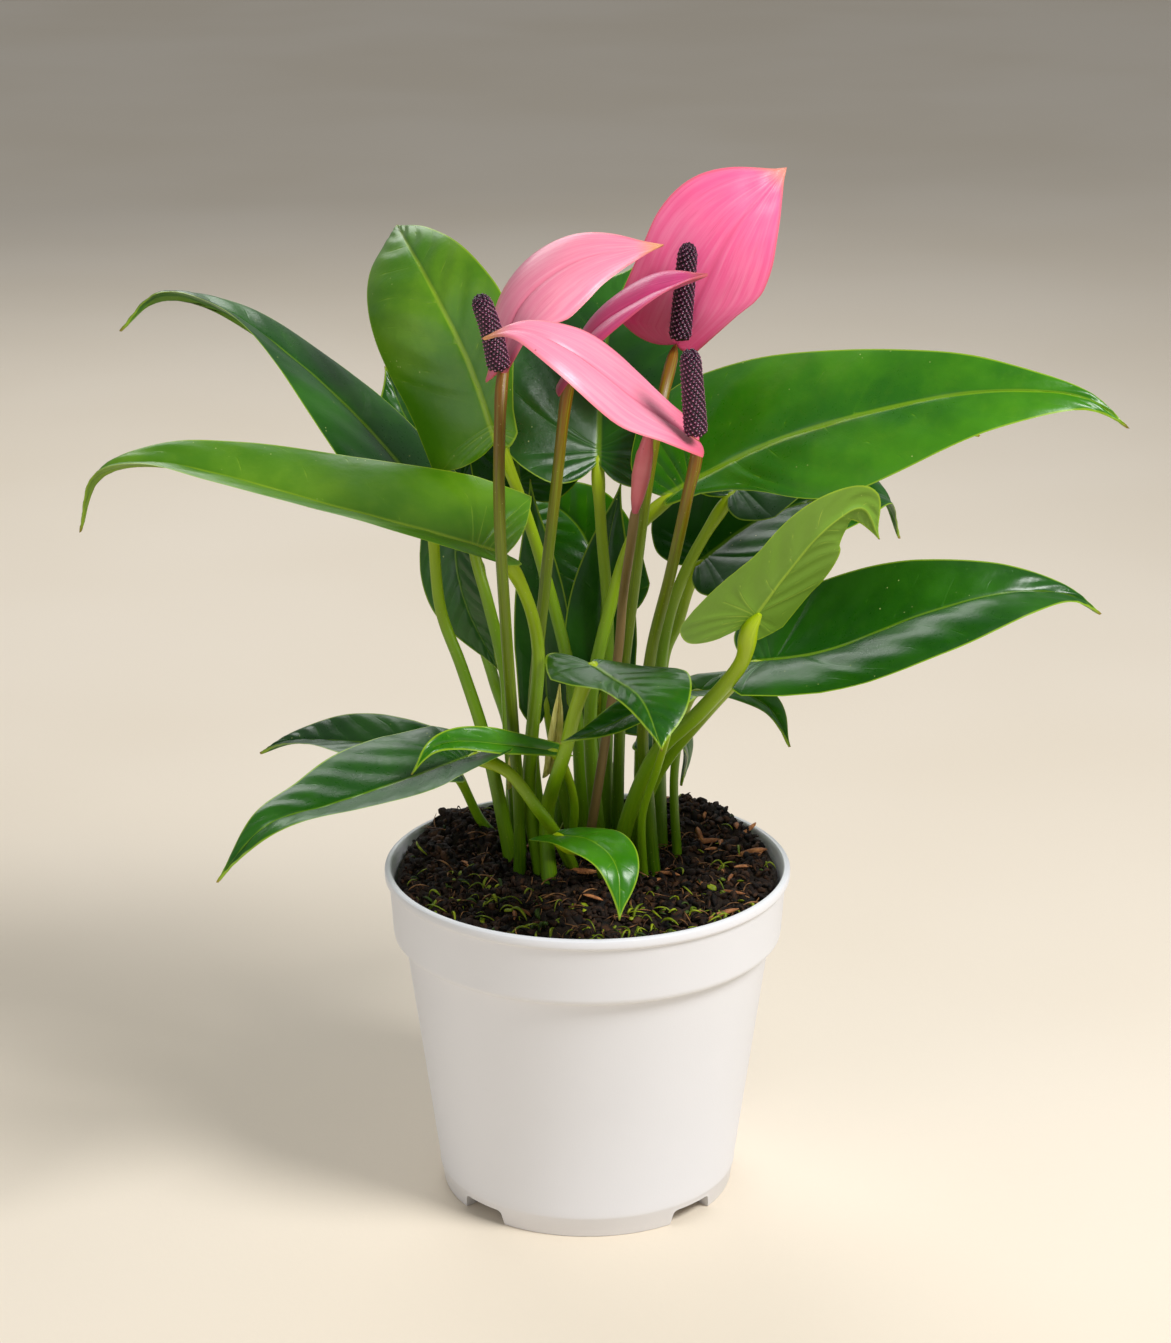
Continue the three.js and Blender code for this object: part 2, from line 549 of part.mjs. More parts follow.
function potGeometry() {
  const { height, rimRadius, lipHeight, collarHeight, collarRadius, wall } = pot;
  const { bodyRadius, baseRadius, floorHeight, footWidth } = pot;
  const step = height - collarHeight;
  const slope = (bodyRadius - baseRadius) / step;
  const bodyAt = (z) => baseRadius + slope * z;
  const profile = [
    [0, floorHeight],
    [baseRadius - footWidth - 1, floorHeight - 0.4],
    [baseRadius - footWidth, floorHeight - 1.2],
    [baseRadius - footWidth, 0.6],
    [baseRadius - footWidth + 0.5, 0],
    [baseRadius - 0.7, 0],
    [baseRadius, 0.7],
    [bodyAt(6), 6],
    [bodyAt(6.8) + 0.25, 6.8],
    [bodyAt(step * 0.5), step * 0.5],
    [bodyAt(step - 1.2), step - 1.2],
    [bodyRadius + 0.9, step - 0.6],
    [collarRadius - 1.1, step - 0.1],
    [collarRadius - 0.2, step + 0.6],
    [collarRadius, step + 1.8],
    [rimRadius - 1.3, height - lipHeight - 0.5],
    [rimRadius - 0.5, height - lipHeight + 0.2],
    [rimRadius, height - lipHeight + 1],
    [rimRadius, height - 1],
    [rimRadius - 0.5, height - 0.25],
    [rimRadius - 1.2, height],
    [rimRadius - 1.9, height - 0.3],
    [rimRadius - 2.2, height - 1.2],
    [collarRadius - wall, step + 2],
    [bodyRadius - wall, step - 1.5],
    [bodyAt(floorHeight + wall) - wall + 0.2, floorHeight + wall + 1],
    [bodyAt(floorHeight + wall) - wall - 1, floorHeight + wall],
    [0, floorHeight + wall],
  ];
  const shell = toSolid(new THREE.LatheGeometry(
    profile.map(([radius, z]) => new THREE.Vector2(radius, z)),
    56,
  ).rotateX(Math.PI / 2));

  const arch = new THREE.Shape();
  const half = pot.notchWidth / 2;
  arch.moveTo(-half - 1.2, -2);
  arch.lineTo(half + 1.2, -2);
  arch.lineTo(half, pot.notchHeight - 1.4);
  arch.lineTo(half - 1.4, pot.notchHeight);
  arch.lineTo(-half + 1.4, pot.notchHeight);
  arch.lineTo(-half, pot.notchHeight - 1.4);
  const notch = new THREE.ExtrudeGeometry(arch, { depth: 14, bevelEnabled: false })
    .rotateX(Math.PI / 2)
    .translate(0, baseRadius + 5, 0);
  const drain = new THREE.CylinderGeometry(pot.drainRadius, pot.drainRadius, 12, 12)
    .rotateX(Math.PI / 2)
    .translate(0, pot.drainCircle, floorHeight);

  let solid = shell;
  for (let i = 0; i < 4; i += 1) {
    const turn = Math.PI / 4 + (i * Math.PI) / 2;
    solid = solid.subtract(toSolid(notch.clone().rotateZ(turn)));
  }
  for (let i = 0; i < 6; i += 1) {
    solid = solid.subtract(toSolid(drain.clone().rotateZ((i * Math.PI) / 3)));
  }
  return fromSolid(solid);
}

function mixGeometry() {
  const rings = 13;
  const spokes = 40;
  const step = pot.height - pot.collarHeight;
  const slope = (pot.bodyRadius - pot.baseRadius) / step;
  const room = pot.wall + gap + 0.5;
  const innerAt = (z) => pot.baseRadius + slope * z - room;
  const floor = pot.floorHeight + pot.wall + gap;
  // the narrowest of the collar's inner wall, at its foot or under the rim
  const outer = Math.min(pot.collarRadius, pot.rimRadius - 2.2 + pot.wall) - room;
  const position = [];
  const put = (x, y, z) => position.push(x, y, z) / 3 - 1;
  const centre = put(0, 0, mixTop(0, 0));
  const loops = [];
  const addLoop = (radius, heightAt) => {
    const loop = [];
    for (let spoke = 0; spoke < spokes; spoke += 1) {
      const turn = (spoke * 2 * Math.PI) / spokes;
      const [x, y] = [radius * Math.cos(turn), radius * Math.sin(turn)];
      loop.push(put(x, y, heightAt(x, y)));
    }
    loops.push(loop);
  };
  for (let ring = 1; ring <= rings; ring += 1) addLoop((outer * ring) / rings, mixTop);
  // down beside the collar, in over its step and down the body to the floor
  const wallLine = [
    [outer, step + 2.8],
    [innerAt(step) + 0.5, step - 0.6],
    [innerAt(step - 3), step - 3],
    [innerAt(floor + 2), floor + 2],
    [innerAt(floor) - 2, floor],
  ];
  wallLine.forEach(([radius, z]) => addLoop(radius, () => z));
  const foot = put(0, 0, floor);
  const triangles = [];
  for (let spoke = 0; spoke < spokes; spoke += 1) {
    const next = (spoke + 1) % spokes;
    triangles.push(centre, loops[0][spoke], loops[0][next]);
    for (let k = 0; k < loops.length - 1; k += 1) {
      triangles.push(loops[k][spoke], loops[k + 1][spoke], loops[k + 1][next]);
      triangles.push(loops[k][spoke], loops[k + 1][next], loops[k][next]);
    }
    triangles.push(foot, loops[loops.length - 1][next], loops[loops.length - 1][spoke]);
  }
  const geometry = new THREE.BufferGeometry();
  geometry.setAttribute('position', new THREE.Float32BufferAttribute(position, 3));
  geometry.setIndex(triangles);
  return weld(geometry);
}

// ---------------------------------------------------------------- the plant

const object = new THREE.Group();
object.name = 'potted_anthurium';

function addPiece(name, geometry, look) {
  const mesh = new THREE.Mesh(geometry, new THREE.MeshStandardMaterial(finishes[look]));
  mesh.name = name;
  object.add(mesh);
}

addPiece('pot', potGeometry(), 'pot');
addPiece('potting_mix', mixGeometry(), 'mix');

// The stalk's points from the potting mix to its blade.
function stalkRoute(leaf, thickness) {
  const [thick, thin] = leaf.stalk;
  const inner = leaf.mids;
  const next = inner[0] ?? leaf.spine[0];
  const root = rootPoint(leaf.root, thick / 2, next);
  const before = inner[inner.length - 1] ?? root;
  return [root, ...inner, jointPoint(leaf, before, thin / 2, thickness)];
}

for (const [name, leaf] of Object.entries(leaves)) {
  const geometry = bladeGeometry(leaf, leafOutline, blade.thickness);
  if (leaf.joined) {
    // a small leaf, its stalk and blade in one piece
    const route = [rootPoint(leaf.root, leaf.stalk[0] / 2, leaf.mids[0] ?? leaf.spine[0]),
      ...leaf.mids, leaf.spine[0]];
    const stalk = toSolid(stalkGeometry(route, leaf.stalk, 1));
    addPiece(name, fromSolid(toSolid(geometry).add(stalk)), leaf.tone);
  } else {
    addPiece(`${name}_blade`, geometry, leaf.tone);
    addPiece(`${name}_stalk`, stalkGeometry(stalkRoute(leaf, blade.thickness), leaf.stalk), 'stalk');
  }
}

for (const [name, flower] of Object.entries(flowers)) {
  addPiece(`${name}_spathe`, bladeGeometry(flower, spatheOutline, blade.spathe), flower.tone);
  const route = stalkRoute(flower, blade.spathe);
  addPiece(`${name}_stalk`, stalkGeometry(route, flower.stalk, 1.1), 'flowerStalk');
  const shares = [0, 0.04, 0.2, 0.4, 0.6, 0.78, 0.9, 0.97, 1];
  const radii = [0.75, 0.95, 1, 1, 0.95, 0.85, 0.68, 0.42, 0.15];
  const profile = shares.map((share, i) => [share, radii[i] * flower.spadixRadius]);
  addPiece(`${name}_spadix`, bentGeometry(flower.spadix, profile, 10).geometry, 'spadix');
}

const budProfile = [[0, 0.9], [0.15, 1.9], [0.4, 2.8], [0.65, 2.5], [0.85, 1.3], [1, 0.4]];
addPiece('bud_spathe', bentGeometry(bud.spine, budProfile, 8).geometry, 'rose');
const budRoot = rootPoint(bud.root, bud.stalk[0] / 2, bud.mids[0]);
const budEnd = vector(bud.spine[0]).add(new THREE.Vector3(0, 0, -gap - 0.4)).toArray();
addPiece('bud_stalk', stalkGeometry([budRoot, ...bud.mids, budEnd], bud.stalk, 1), 'flowerStalk');

for (const [name, sheath] of Object.entries(sheaths)) {
  addPiece(name, bladeGeometry(sheath, leafOutline, blade.thickness), 'sheath');
}

export default object;
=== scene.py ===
import math

import bpy
import numpy as np
from bpy.props import FloatProperty, FloatVectorProperty, IntProperty, PointerProperty
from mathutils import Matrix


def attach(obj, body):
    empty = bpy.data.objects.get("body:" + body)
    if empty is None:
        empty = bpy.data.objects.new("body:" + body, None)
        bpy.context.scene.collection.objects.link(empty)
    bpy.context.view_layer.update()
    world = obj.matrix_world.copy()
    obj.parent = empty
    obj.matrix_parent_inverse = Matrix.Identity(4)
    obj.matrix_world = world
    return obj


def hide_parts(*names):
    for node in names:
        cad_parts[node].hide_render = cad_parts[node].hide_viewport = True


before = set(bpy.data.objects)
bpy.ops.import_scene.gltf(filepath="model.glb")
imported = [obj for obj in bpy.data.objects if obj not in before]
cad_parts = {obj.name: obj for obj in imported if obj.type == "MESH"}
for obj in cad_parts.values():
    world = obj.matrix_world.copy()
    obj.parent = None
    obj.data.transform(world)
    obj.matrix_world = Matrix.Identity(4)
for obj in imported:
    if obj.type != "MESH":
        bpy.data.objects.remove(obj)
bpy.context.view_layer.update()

bl_info = {
    "name": "Potted flamingo flower",
    "version": (1, 0, 0),
    "blender": (4, 5, 0),
    "location": "3D View > Sidebar > Plant",
    "description": "A pink flamingo flower in a white nursery pot, an operator for each sort of part",
    "category": "Object",
}

MM = 0.001
BODY = "root"

# Outline of one half of a blade from the notch at the stalk to the tip: the share of the
# length (of the lobe's length where negative) and the share of the half width.
LEAF_OUTLINE = (
    (0, 0), (-0.75, 0.2), (-1, 0.48), (-0.5, 0.78), (0.1, 0.97), (0.24, 1),
    (0.4, 0.9), (0.56, 0.7), (0.72, 0.44), (0.86, 0.18), (0.95, 0.05), (1, 0),
)
SPATHE_OUTLINE = (
    (0, 0), (-0.8, 0.22), (-1, 0.5), (-0.5, 0.82), (0.1, 0.99), (0.28, 1),
    (0.46, 0.86), (0.64, 0.6), (0.8, 0.31), (0.9, 0.13), (0.96, 0.05), (1, 0),
)

# The plant, in millimetres and degrees, laid out as in the CAD. `spine` is the midrib from
# the stalk to the tip, `face` the way the upper side faces, and `half`, `fold`, `curl`,
# `full`, `lobe` and `waist` are for the left and the right half of the blade. `root`, `mids` and
# `stalk` give the stalk's foot, the points along it and its two diameters.
LEAVES = {
    "leaf_01": dict(
        tone="dark", half=(24, 17), face=(0.47, -0.5, 0.73), twist=37,
        fold=(14, 9), curl=(10, 10), full=(1.22, 0.65), lobe=(6, 6),
        root=(-22, 9), stalk=(4.8, 3.2), mids=((-30, 8, 136), (-37, 12, 158), (-43, 16, 174)),
        spine=((-46, 18, 206), (-63, 32, 223), (-84, 45, 240), (-108, 55, 255), (-127, 59, 259),
            (-140, 59, 248)),
    ),
    "leaf_02": dict(
        tone="light", half=(27, 19), face=(-0.35, -0.85, 0.3), twist=15,
        fold=(2, 7), curl=(40, 6), full=(0.64, 0.9), lobe=(3, 3), waist=(1, 0.4),
        root=(-1, 17), stalk=(4.8, 3.2), mids=((-4, 10, 150), (-13, 8, 190), (-20, 6, 213)),
        spine=((-26, 5, 228), (-34, 14, 249), (-45, 28, 268), (-53, 48, 277), (-57, 70, 278)),
    ),
    "leaf_03": dict(
        tone="light", half=(16.9, 26.6), face=(0.25, 0.06, 0.97), twist=0,
        fold=(5, 41), curl=(0, 17), full=(0.93, 1.3), lobe=(6, 2),
        root=(-13, 1), stalk=(5, 3.4), mids=((-17, -4, 122), (-16, -12, 144), (-14, -16, 172),
            (-17, -19, 188)),
        spine=((-23, -22, 202), (-43, -18, 207), (-73, -10, 213), (-104, 0, 219), (-125, 7, 221),
            (-141, 12, 216), (-148, 15, 198)),
    ),
    "leaf_04": dict(
        tone="mid", half=(33, 26), face=(-0.25, -0.6, 0.75), twist=0,
        fold=(8, 8), curl=(10, 15), full=(1.5, 0.85), lobe=(8, 1), waist=(1, 0.15),
        root=(4, 10), stalk=(5, 3.4), mids=((1, 2, 148), (5, -2, 174), (14, -4, 204)),
        spine=((22, -8, 215), (33, -11, 222), (52, -16, 233), (84, -24, 245), (110, -30, 251),
            (136, -34, 250), (148, -35, 242)),
    ),
    "leaf_05": dict(
        tone="dark", half=(24.7, 23.9), face=(-0.23, -0.11, 0.97), twist=27,
        fold=(16, 21), curl=(-16, 40), full=(1.07, 0.75), lobe=(6, 6),
        root=(15, 16), stalk=(5, 3.8), mids=((15, 10, 107), (20, 0, 128), (30, -9, 146)),
        spine=((47, -18, 169), (66, -22, 173), (97, -24, 186), (119, -22, 191), (136, -18, 189),
            (146, -16, 183)),
    ),
    "leaf_06": dict(
        tone="pale", half=(16, 16), face=(-0.4, 0.7, 0.5), twist=0,
        fold=(10, 10), curl=(20, 20), full=(0.85, 0.85), lobe=(6, 10), waist=(1, 1.9),
        root=(9, 6), stalk=(5.2, 4.2), mids=((11, -2, 112), (20, -16, 141), (32, -28, 158),
            (43, -40, 177)),
        spine=((44, -44, 189), (54, -48, 205), (64, -50, 218), (74, -46, 223), (80, -40, 212)),
    ),
    "leaf_07": dict(
        tone="dark", half=(22, 22), face=(-0.3, -0.6, 0.7), twist=0,
        fold=(12, 12), curl=(0, 0), full=(0.85, 0.85), lobe=(6, 6),
        root=(22, 26), stalk=(4.4, 3.2), mids=((23, 25, 157), (27, 26, 167)),
        spine=((32, 28, 184), (51, 38, 195), (73, 50, 199), (89, 60, 197), (96, 64, 182)),
    ),
    "leaf_08": dict(
        tone="dark", half=(20, 20), face=(-0.2, -0.6, 0.7), twist=0,
        fold=(12, 12), curl=(0, 0), full=(0.85, 0.85), lobe=(6, 6),
        root=(22, 18), stalk=(4.4, 3.2), mids=((22, 16, 160), (28, 14, 185)),
        spine=((41, 18, 208), (63, 38, 220), (92, 62, 221), (121, 78, 211)),
    ),
    "leaf_09": dict(
        tone="dark", half=(28, 28), face=(0, -0.8, 0.5), twist=0,
        fold=(12, 12), curl=(0, 0), full=(0.85, 0.85), lobe=(8, 8),
        root=(5, 18), stalk=(4.4, 3.2), mids=((6, 14, 147), (6, 15, 174), (4, 17, 199)),
        spine=((3, 18, 218), (4, 32, 236), (7, 50, 253), (14, 72, 265)),
    ),
    "leaf_10": dict(
        tone="dark", half=(14.4, 19.5), face=(0, -0.8, 0.5), twist=0,
        fold=(12, 12), curl=(0, 0), full=(0.85, 0.85), lobe=(6, 6),
        root=(-9, 32), stalk=(4.4, 3.2), mids=((-8, 38, 158),),
        spine=((-20, 36, 205), (-22, 48, 217), (-26, 64, 229), (-30, 80, 239)),
    ),
    "leaf_11": dict(
        tone="dark", half=(9, 9), face=(-0.2, -0.9, 0.3), twist=0,
        fold=(12, 12), curl=(0, 0), full=(0.85, 0.85), lobe=(6, 6), joined=True,
        root=(-4, 26), stalk=(4.4, 3.2), mids=(),
        spine=((-12, 25, 141), (-13, 27, 164), (-15, 29, 189), (-17, 31, 210)),
    ),
    "leaf_12": dict(
        tone="mid", half=(15, 15), face=(0, -0.9, 0.3), twist=0,
        fold=(12, 12), curl=(0, 0), full=(0.85, 0.85), lobe=(6, 6),
        root=(0, 34), stalk=(4.4, 3.2), mids=((5, 38, 145),),
        spine=((6, 42, 169), (-2, 52, 188), (-13, 64, 194), (-24, 74, 193)),
    ),
    "leaf_13": dict(
        tone="dark", half=(11, 11), face=(0, -0.95, 0.2), twist=0,
        fold=(12, 12), curl=(0, 0), full=(0.85, 0.85), lobe=(6, 6),
        root=(9, 24), stalk=(4.4, 3.2), mids=(),
        spine=((4, 18, 145), (4, 22, 169), (6, 26, 190), (10, 28, 210)),
    ),
    "leaf_14": dict(
        tone="dark", half=(13, 13), face=(-0.5, -0.7, 0.4), twist=0,
        fold=(12, 12), curl=(0, 0), full=(0.85, 0.85), lobe=(6, 6),
        root=(-23, 20), stalk=(4.4, 3.2), mids=((-23, 18, 135), (-28, 32, 147), (-35, 42, 169)),
        spine=((-37, 32, 195), (-39, 32, 187), (-36, 28, 172), (-26, 24, 152)),
    ),
    "leaf_15": dict(
        tone="dark", half=(18.9, 22.1), face=(-0.12, 0.04, 0.99), twist=-14,
        fold=(12, 17), curl=(0, 0), full=(0.87, 1.16), lobe=(6, 3.5),
        root=(-3, 5), stalk=(4.2, 3.4), mids=((-9, -12, 114), (-14, -23, 126), (-23, -23, 138)),
        spine=((-32, -20, 142), (-53, -38, 140), (-71, -56, 140), (-88, -70, 139),
            (-101, -78, 126)),
    ),
    "leaf_16": dict(
        tone="dark", half=(14.4, 11.5), face=(-0.04, -0.34, 0.94), twist=9,
        fold=(20, 20), curl=(0, 0), full=(0.84, 0.6), lobe=(6, 6),
        root=(-27, 25), stalk=(3.4, 2.6), mids=((-32, 23, 105),),
        spine=((-40, 20, 123), (-56, 26, 127), (-75, 36, 126), (-91, 44, 123), (-101, 48, 118)),
    ),
    "leaf_17": dict(
        tone="mid", half=(3.6, 4.6), face=(0, -0.75, 0.65), twist=0,
        fold=(20, 20), curl=(10, 10), full=(0.55, 0.55), lobe=(6, 6), waist=(0.6, 0.6),
        root=(-6, 11), stalk=(3, 2.4), mids=((-4, -8, 124),),
        spine=((-9, -20, 143), (-22, -29, 148), (-37, -37, 152), (-44, -44, 152),
            (-49, -48, 146)),
    ),
    "leaf_18": dict(
        tone="mid", half=(8, 8), face=(0, -0.2, 1), twist=0,
        fold=(15, 15), curl=(0, 0), full=(0.85, 0.85), lobe=(6, 6),
        root=(27, 11), stalk=(3, 2.4), mids=((26, 8, 129),),
        spine=((31, 4, 153), (43, 1, 154), (53, -3, 150), (59, -8, 140)),
    ),
    "leaf_19": dict(
        tone="dark", half=(17, 6.5), face=(0, -0.42, 0.9), twist=0,
        fold=(-4, 6), curl=(-8, 8), full=(0.5, 0.6), lobe=(2, 16), waist=(0.3, 2.1),
        root=(-11, -5), stalk=(5, 3.8), mids=((-12, -5, 116), (-10, -16, 130), (-8, -27, 140),
            (-6, -31, 148), (-3, -32, 161)),
        spine=((1, -31, 173), (7, -44, 173), (15, -64, 173), (20, -78, 164)),
    ),
    "leaf_20": dict(
        tone="mid", half=(9.6, 10.4), face=(-0.16, 0.11, 0.98), twist=0,
        fold=(0, 7), curl=(0, 0), full=(0.66, 0.9), lobe=(3.9, 4), joined=True,
        root=(6, 0), stalk=(4.4, 3.2), mids=((2, -16, 110), (-6, -29, 117)),
        spine=((-9, -30, 121), (1, -42, 124), (8, -54, 121), (9, -62, 108)),
    ),
    "leaf_21": dict(
        tone="dark", half=(16, 16), face=(0, -0.7, 0.6), twist=0,
        fold=(12, 12), curl=(0, 0), full=(0.85, 0.85), lobe=(6, 6),
        root=(-20, 14), stalk=(4.4, 3.2), mids=((-23, 8, 138), (-24, 9, 156), (-29, 11, 178),
            (-33, 16, 192), (-34, 19, 203)),
        spine=((-36, 46, 202), (-48, 58, 210), (-56, 70, 220), (-62, 78, 233)),
    ),
    "leaf_22": dict(
        tone="dark", half=(9, 9), face=(0, -0.6, 0.8), twist=0,
        fold=(12, 12), curl=(0, 0), full=(0.85, 0.85), lobe=(6, 6), joined=True,
        root=(17, 36), stalk=(4.4, 3.2), mids=((16, 35, 118),),
        spine=((17, 34, 129), (25, 38, 131), (30, 40, 123), (29, 40, 110)),
    ),
    "leaf_23": dict(
        tone="dark", half=(7.5, 7.5), face=(0, -0.3, 1), twist=0,
        fold=(12, 12), curl=(0, 0), full=(0.85, 0.85), lobe=(6, 6), joined=True,
        root=(17, -2), stalk=(2.6, 2.2), mids=((16, -12, 120), (20, -23, 139), (23, -33, 155)),
        spine=((24, -38, 165), (15, -39, 162), (3, -39, 156), (-8, -38, 152)),
    ),
}
FLOWERS = {
    "flower_1": dict(
        tone="pink", half=(21, 16), face=(0, -1, 0.2), twist=0,
        fold=(0, 0), curl=(20, 20), full=(0.47, 0.6), lobe=(3, 1), waist=(1, 0.4),
        root=(9, 16), stalk=(3.6, 3.2), spadixRadius=3.1, mids=((10, 6, 150), (14, -6, 193),
            (17, -15, 222), (21, -10, 244)),
        spine=((25, 6, 256), (32, 3, 272), (41, 5, 289), (56, 14, 305)),
        spadix=((26, 1, 259), (27, -2, 273), (28, -5, 287)),
    ),
    "flower_2": dict(
        tone="pink", half=(20.9, 16), face=(-0.8, -0.46, 0.37), twist=51,
        fold=(-4, 11), curl=(49, 27), full=(1.09, 0.85), lobe=(4, 0.5), waist=(1, 0.35),
        root=(-20, 1), stalk=(3.6, 3.2), spadixRadius=3.1, mids=((-20, -8, 124), (-21, -16, 145),
            (-23, -34, 190), (-24, -42, 218), (-24, -38, 240)),
        spine=((-24, -30, 257), (-18, -25, 274), (-3, -20, 285), (21, -16, 289)),
        spadix=((-24, -35, 259), (-26, -38, 270), (-29, -41, 280)),
    ),
    "flower_3": dict(
        tone="pink", half=(13, 15.4), face=(0.61, -0.22, 0.76), twist=-26,
        fold=(12, 4), curl=(37, 13), full=(0.71, 0.92), lobe=(1, 0.5), waist=(0.6, 0.6),
        root=(20, 3), stalk=(3.6, 3.2), spadixRadius=3.1, mids=((18, -3, 122), (16, -9, 142),
            (18, -20, 172), (23, -36, 201), (27, -45, 225)),
        spine=((30, -46, 241), (14, -52, 253), (-5, -58, 269), (-18, -56, 274), (-28, -52, 271)),
        spadix=((29, -52, 245), (28, -55, 257), (27, -58, 269)),
    ),
    "flower_4": dict(
        tone="rose", half=(15, 12.9), face=(-0.86, 0, 0.51), twist=9,
        fold=(34, 33), curl=(77, 62), full=(0.7, 0.84), lobe=(1, 1),
        root=(-12, 11), stalk=(3.6, 3.2), spadixRadius=1.4, mids=((-16, 2, 139), (-12, -4, 189),
            (-9, -5, 216)),
        spine=((-6, -4, 248), (3, -8, 263), (16, -12, 273), (33, -16, 281)),
        spadix=((-8, -6, 252), (-6.5, -7, 256), (-5, -8, 261)),
    ),
}
BUD = dict(
    root=(-1, 11), stalk=(3, 2.6),
    mids=((3, -4, 125), (9, -9, 170), (10, -14, 186), (12, -31, 208)),
    spine=((13, -38, 219), (15, -40, 232), (17, -42, 246)),
)
SHEATHS = {
    "sheath_1": dict(
        half=(4.5, 4.5), face=(0, -1, 0.1), twist=0,
        fold=(30, 30), curl=(-60, -60), full=(1, 1), lobe=(1, 1),
        spine=((-11, -9, 132), (-9, -9, 146), (-8, -10, 160)),
    ),
    "sheath_2": dict(
        half=(3.5, 3.5), face=(0, -1, 0.1), twist=0,
        fold=(30, 30), curl=(-60, -60), full=(1, 1), lobe=(1, 1),
        spine=((-22, 3, 124), (-22, 3, 130), (-22, 3, 136)),
    ),
}

# Mounds of potting mix, as x, y, height and spread in millimetres
MOUNDS = (
    (34, 38, 8, 13), (-38, 36, 7.5, 13), (2, 40, 3, 18), (50, 14, 2.5, 14),
    (-50, 14, 2.5, 14), (20, -36, -2.5, 16), (-28, -34, -2, 16),
)
WALL_DIP = 1.2  # how far the mix falls from the middle to the wall
MIX_RADIUS = 56.3  # of its surface, inside the collar
QUILT_SHARE = 0.8  # of the quilting that shows once the side veins wander


# ---------------------------------------------------------------- settings


class PotSettings(bpy.types.PropertyGroup):
    """Sizes and colour of the nursery pot"""

    height: FloatProperty(name="Height", description="From the foot to the top of the rim",
                          default=0.101, unit="LENGTH")
    rim: FloatProperty(name="Rim radius", description="Outside of the rolled rim",
                       default=0.060, unit="LENGTH")
    collar: FloatProperty(name="Collar height", description="From the top of the rim to the step",
                          default=0.021, unit="LENGTH")
    foot: FloatProperty(name="Foot radius", description="Outside of the pot where it stands",
                        default=0.0436, unit="LENGTH")
    color: FloatVectorProperty(name="Colour", description="The pot's plastic", subtype="COLOR",
                               size=3, min=0, max=1, default=(0.80, 0.80, 0.83))


class MixSettings(bpy.types.PropertyGroup):
    """What the potting mix is made of"""

    level: FloatProperty(name="Level", description="Height of the mix above the table",
                         default=0.0962, unit="LENGTH")
    crumbs: FloatProperty(name="Crumbs", description="Crumbs for each square metre",
                          default=330000, min=0)
    fibres: FloatProperty(name="Fibres", description="Peat fibres for each square metre",
                          default=52000, min=0)
    moss: FloatProperty(name="Moss", description="Moss for each square metre where it grows",
                        default=60000, min=0)
    color: FloatVectorProperty(name="Peat", description="Damp peat", subtype="COLOR", size=3,
                               min=0, max=1, default=(0.020, 0.012, 0.007))


class LeafSettings(bpy.types.PropertyGroup):
    """How the leaf blades are finished"""

    thickness: FloatProperty(name="Thickness", description="Of a blade between its veins",
                             default=0.0007, unit="LENGTH")
    veins: IntProperty(name="Side veins", description="Side veins on each half of a blade",
                       default=14, min=4)
    quilting: FloatProperty(name="Quilting", description="Rise of the blade between two side veins",
                            default=0.00022, unit="LENGTH")
    ripple: FloatProperty(name="Ripple", description="Rise and fall of the margin",
                          default=0.0006, unit="LENGTH")


class FlowerSettings(bpy.types.PropertyGroup):
    """The flowers' spathes and spadices"""

    thickness: FloatProperty(name="Thickness", description="Of a spathe", default=0.0008,
                             unit="LENGTH")
    florets: IntProperty(name="Florets", description="Florets on a full-grown spadix",
                         default=330, min=20)
    pink: FloatVectorProperty(name="Pink", description="A full-grown spathe", subtype="COLOR",
                              size=3, min=0, max=1, default=(0.88, 0.115, 0.29))
    blush: FloatVectorProperty(name="Blush", description="An ageing spathe", subtype="COLOR",
                               size=3, min=0, max=1, default=(0.88, 0.24, 0.36))
    rose: FloatVectorProperty(name="Rose", description="A young spathe", subtype="COLOR",
                              size=3, min=0, max=1, default=(0.68, 0.07, 0.24))


# ---------------------------------------------------------------- node trees


def find_socket(sockets, key):
    """The socket at an index, or in use under a name, or with an identifier"""
    if isinstance(key, int):
        return sockets[key]
    for socket in sockets:
        if socket.name == key and socket.enabled:
            return socket
    for socket in sockets:
        if socket.identifier == key:
            return socket
    raise KeyError(f"no socket {key!r}")


def plug(tree, socket, value):
    """Links a value to a socket, or sets a plain number, colour or vector on it"""
    if isinstance(value, Wire):
        tree.links.new(value.socket, socket)
    elif isinstance(value, bpy.types.NodeSocket):
        tree.links.new(value, socket)
    elif isinstance(value, (tuple, list)) and socket.type == "RGBA" and len(value) == 3:
        socket.default_value = (*value, 1)
    else:
        socket.default_value = value


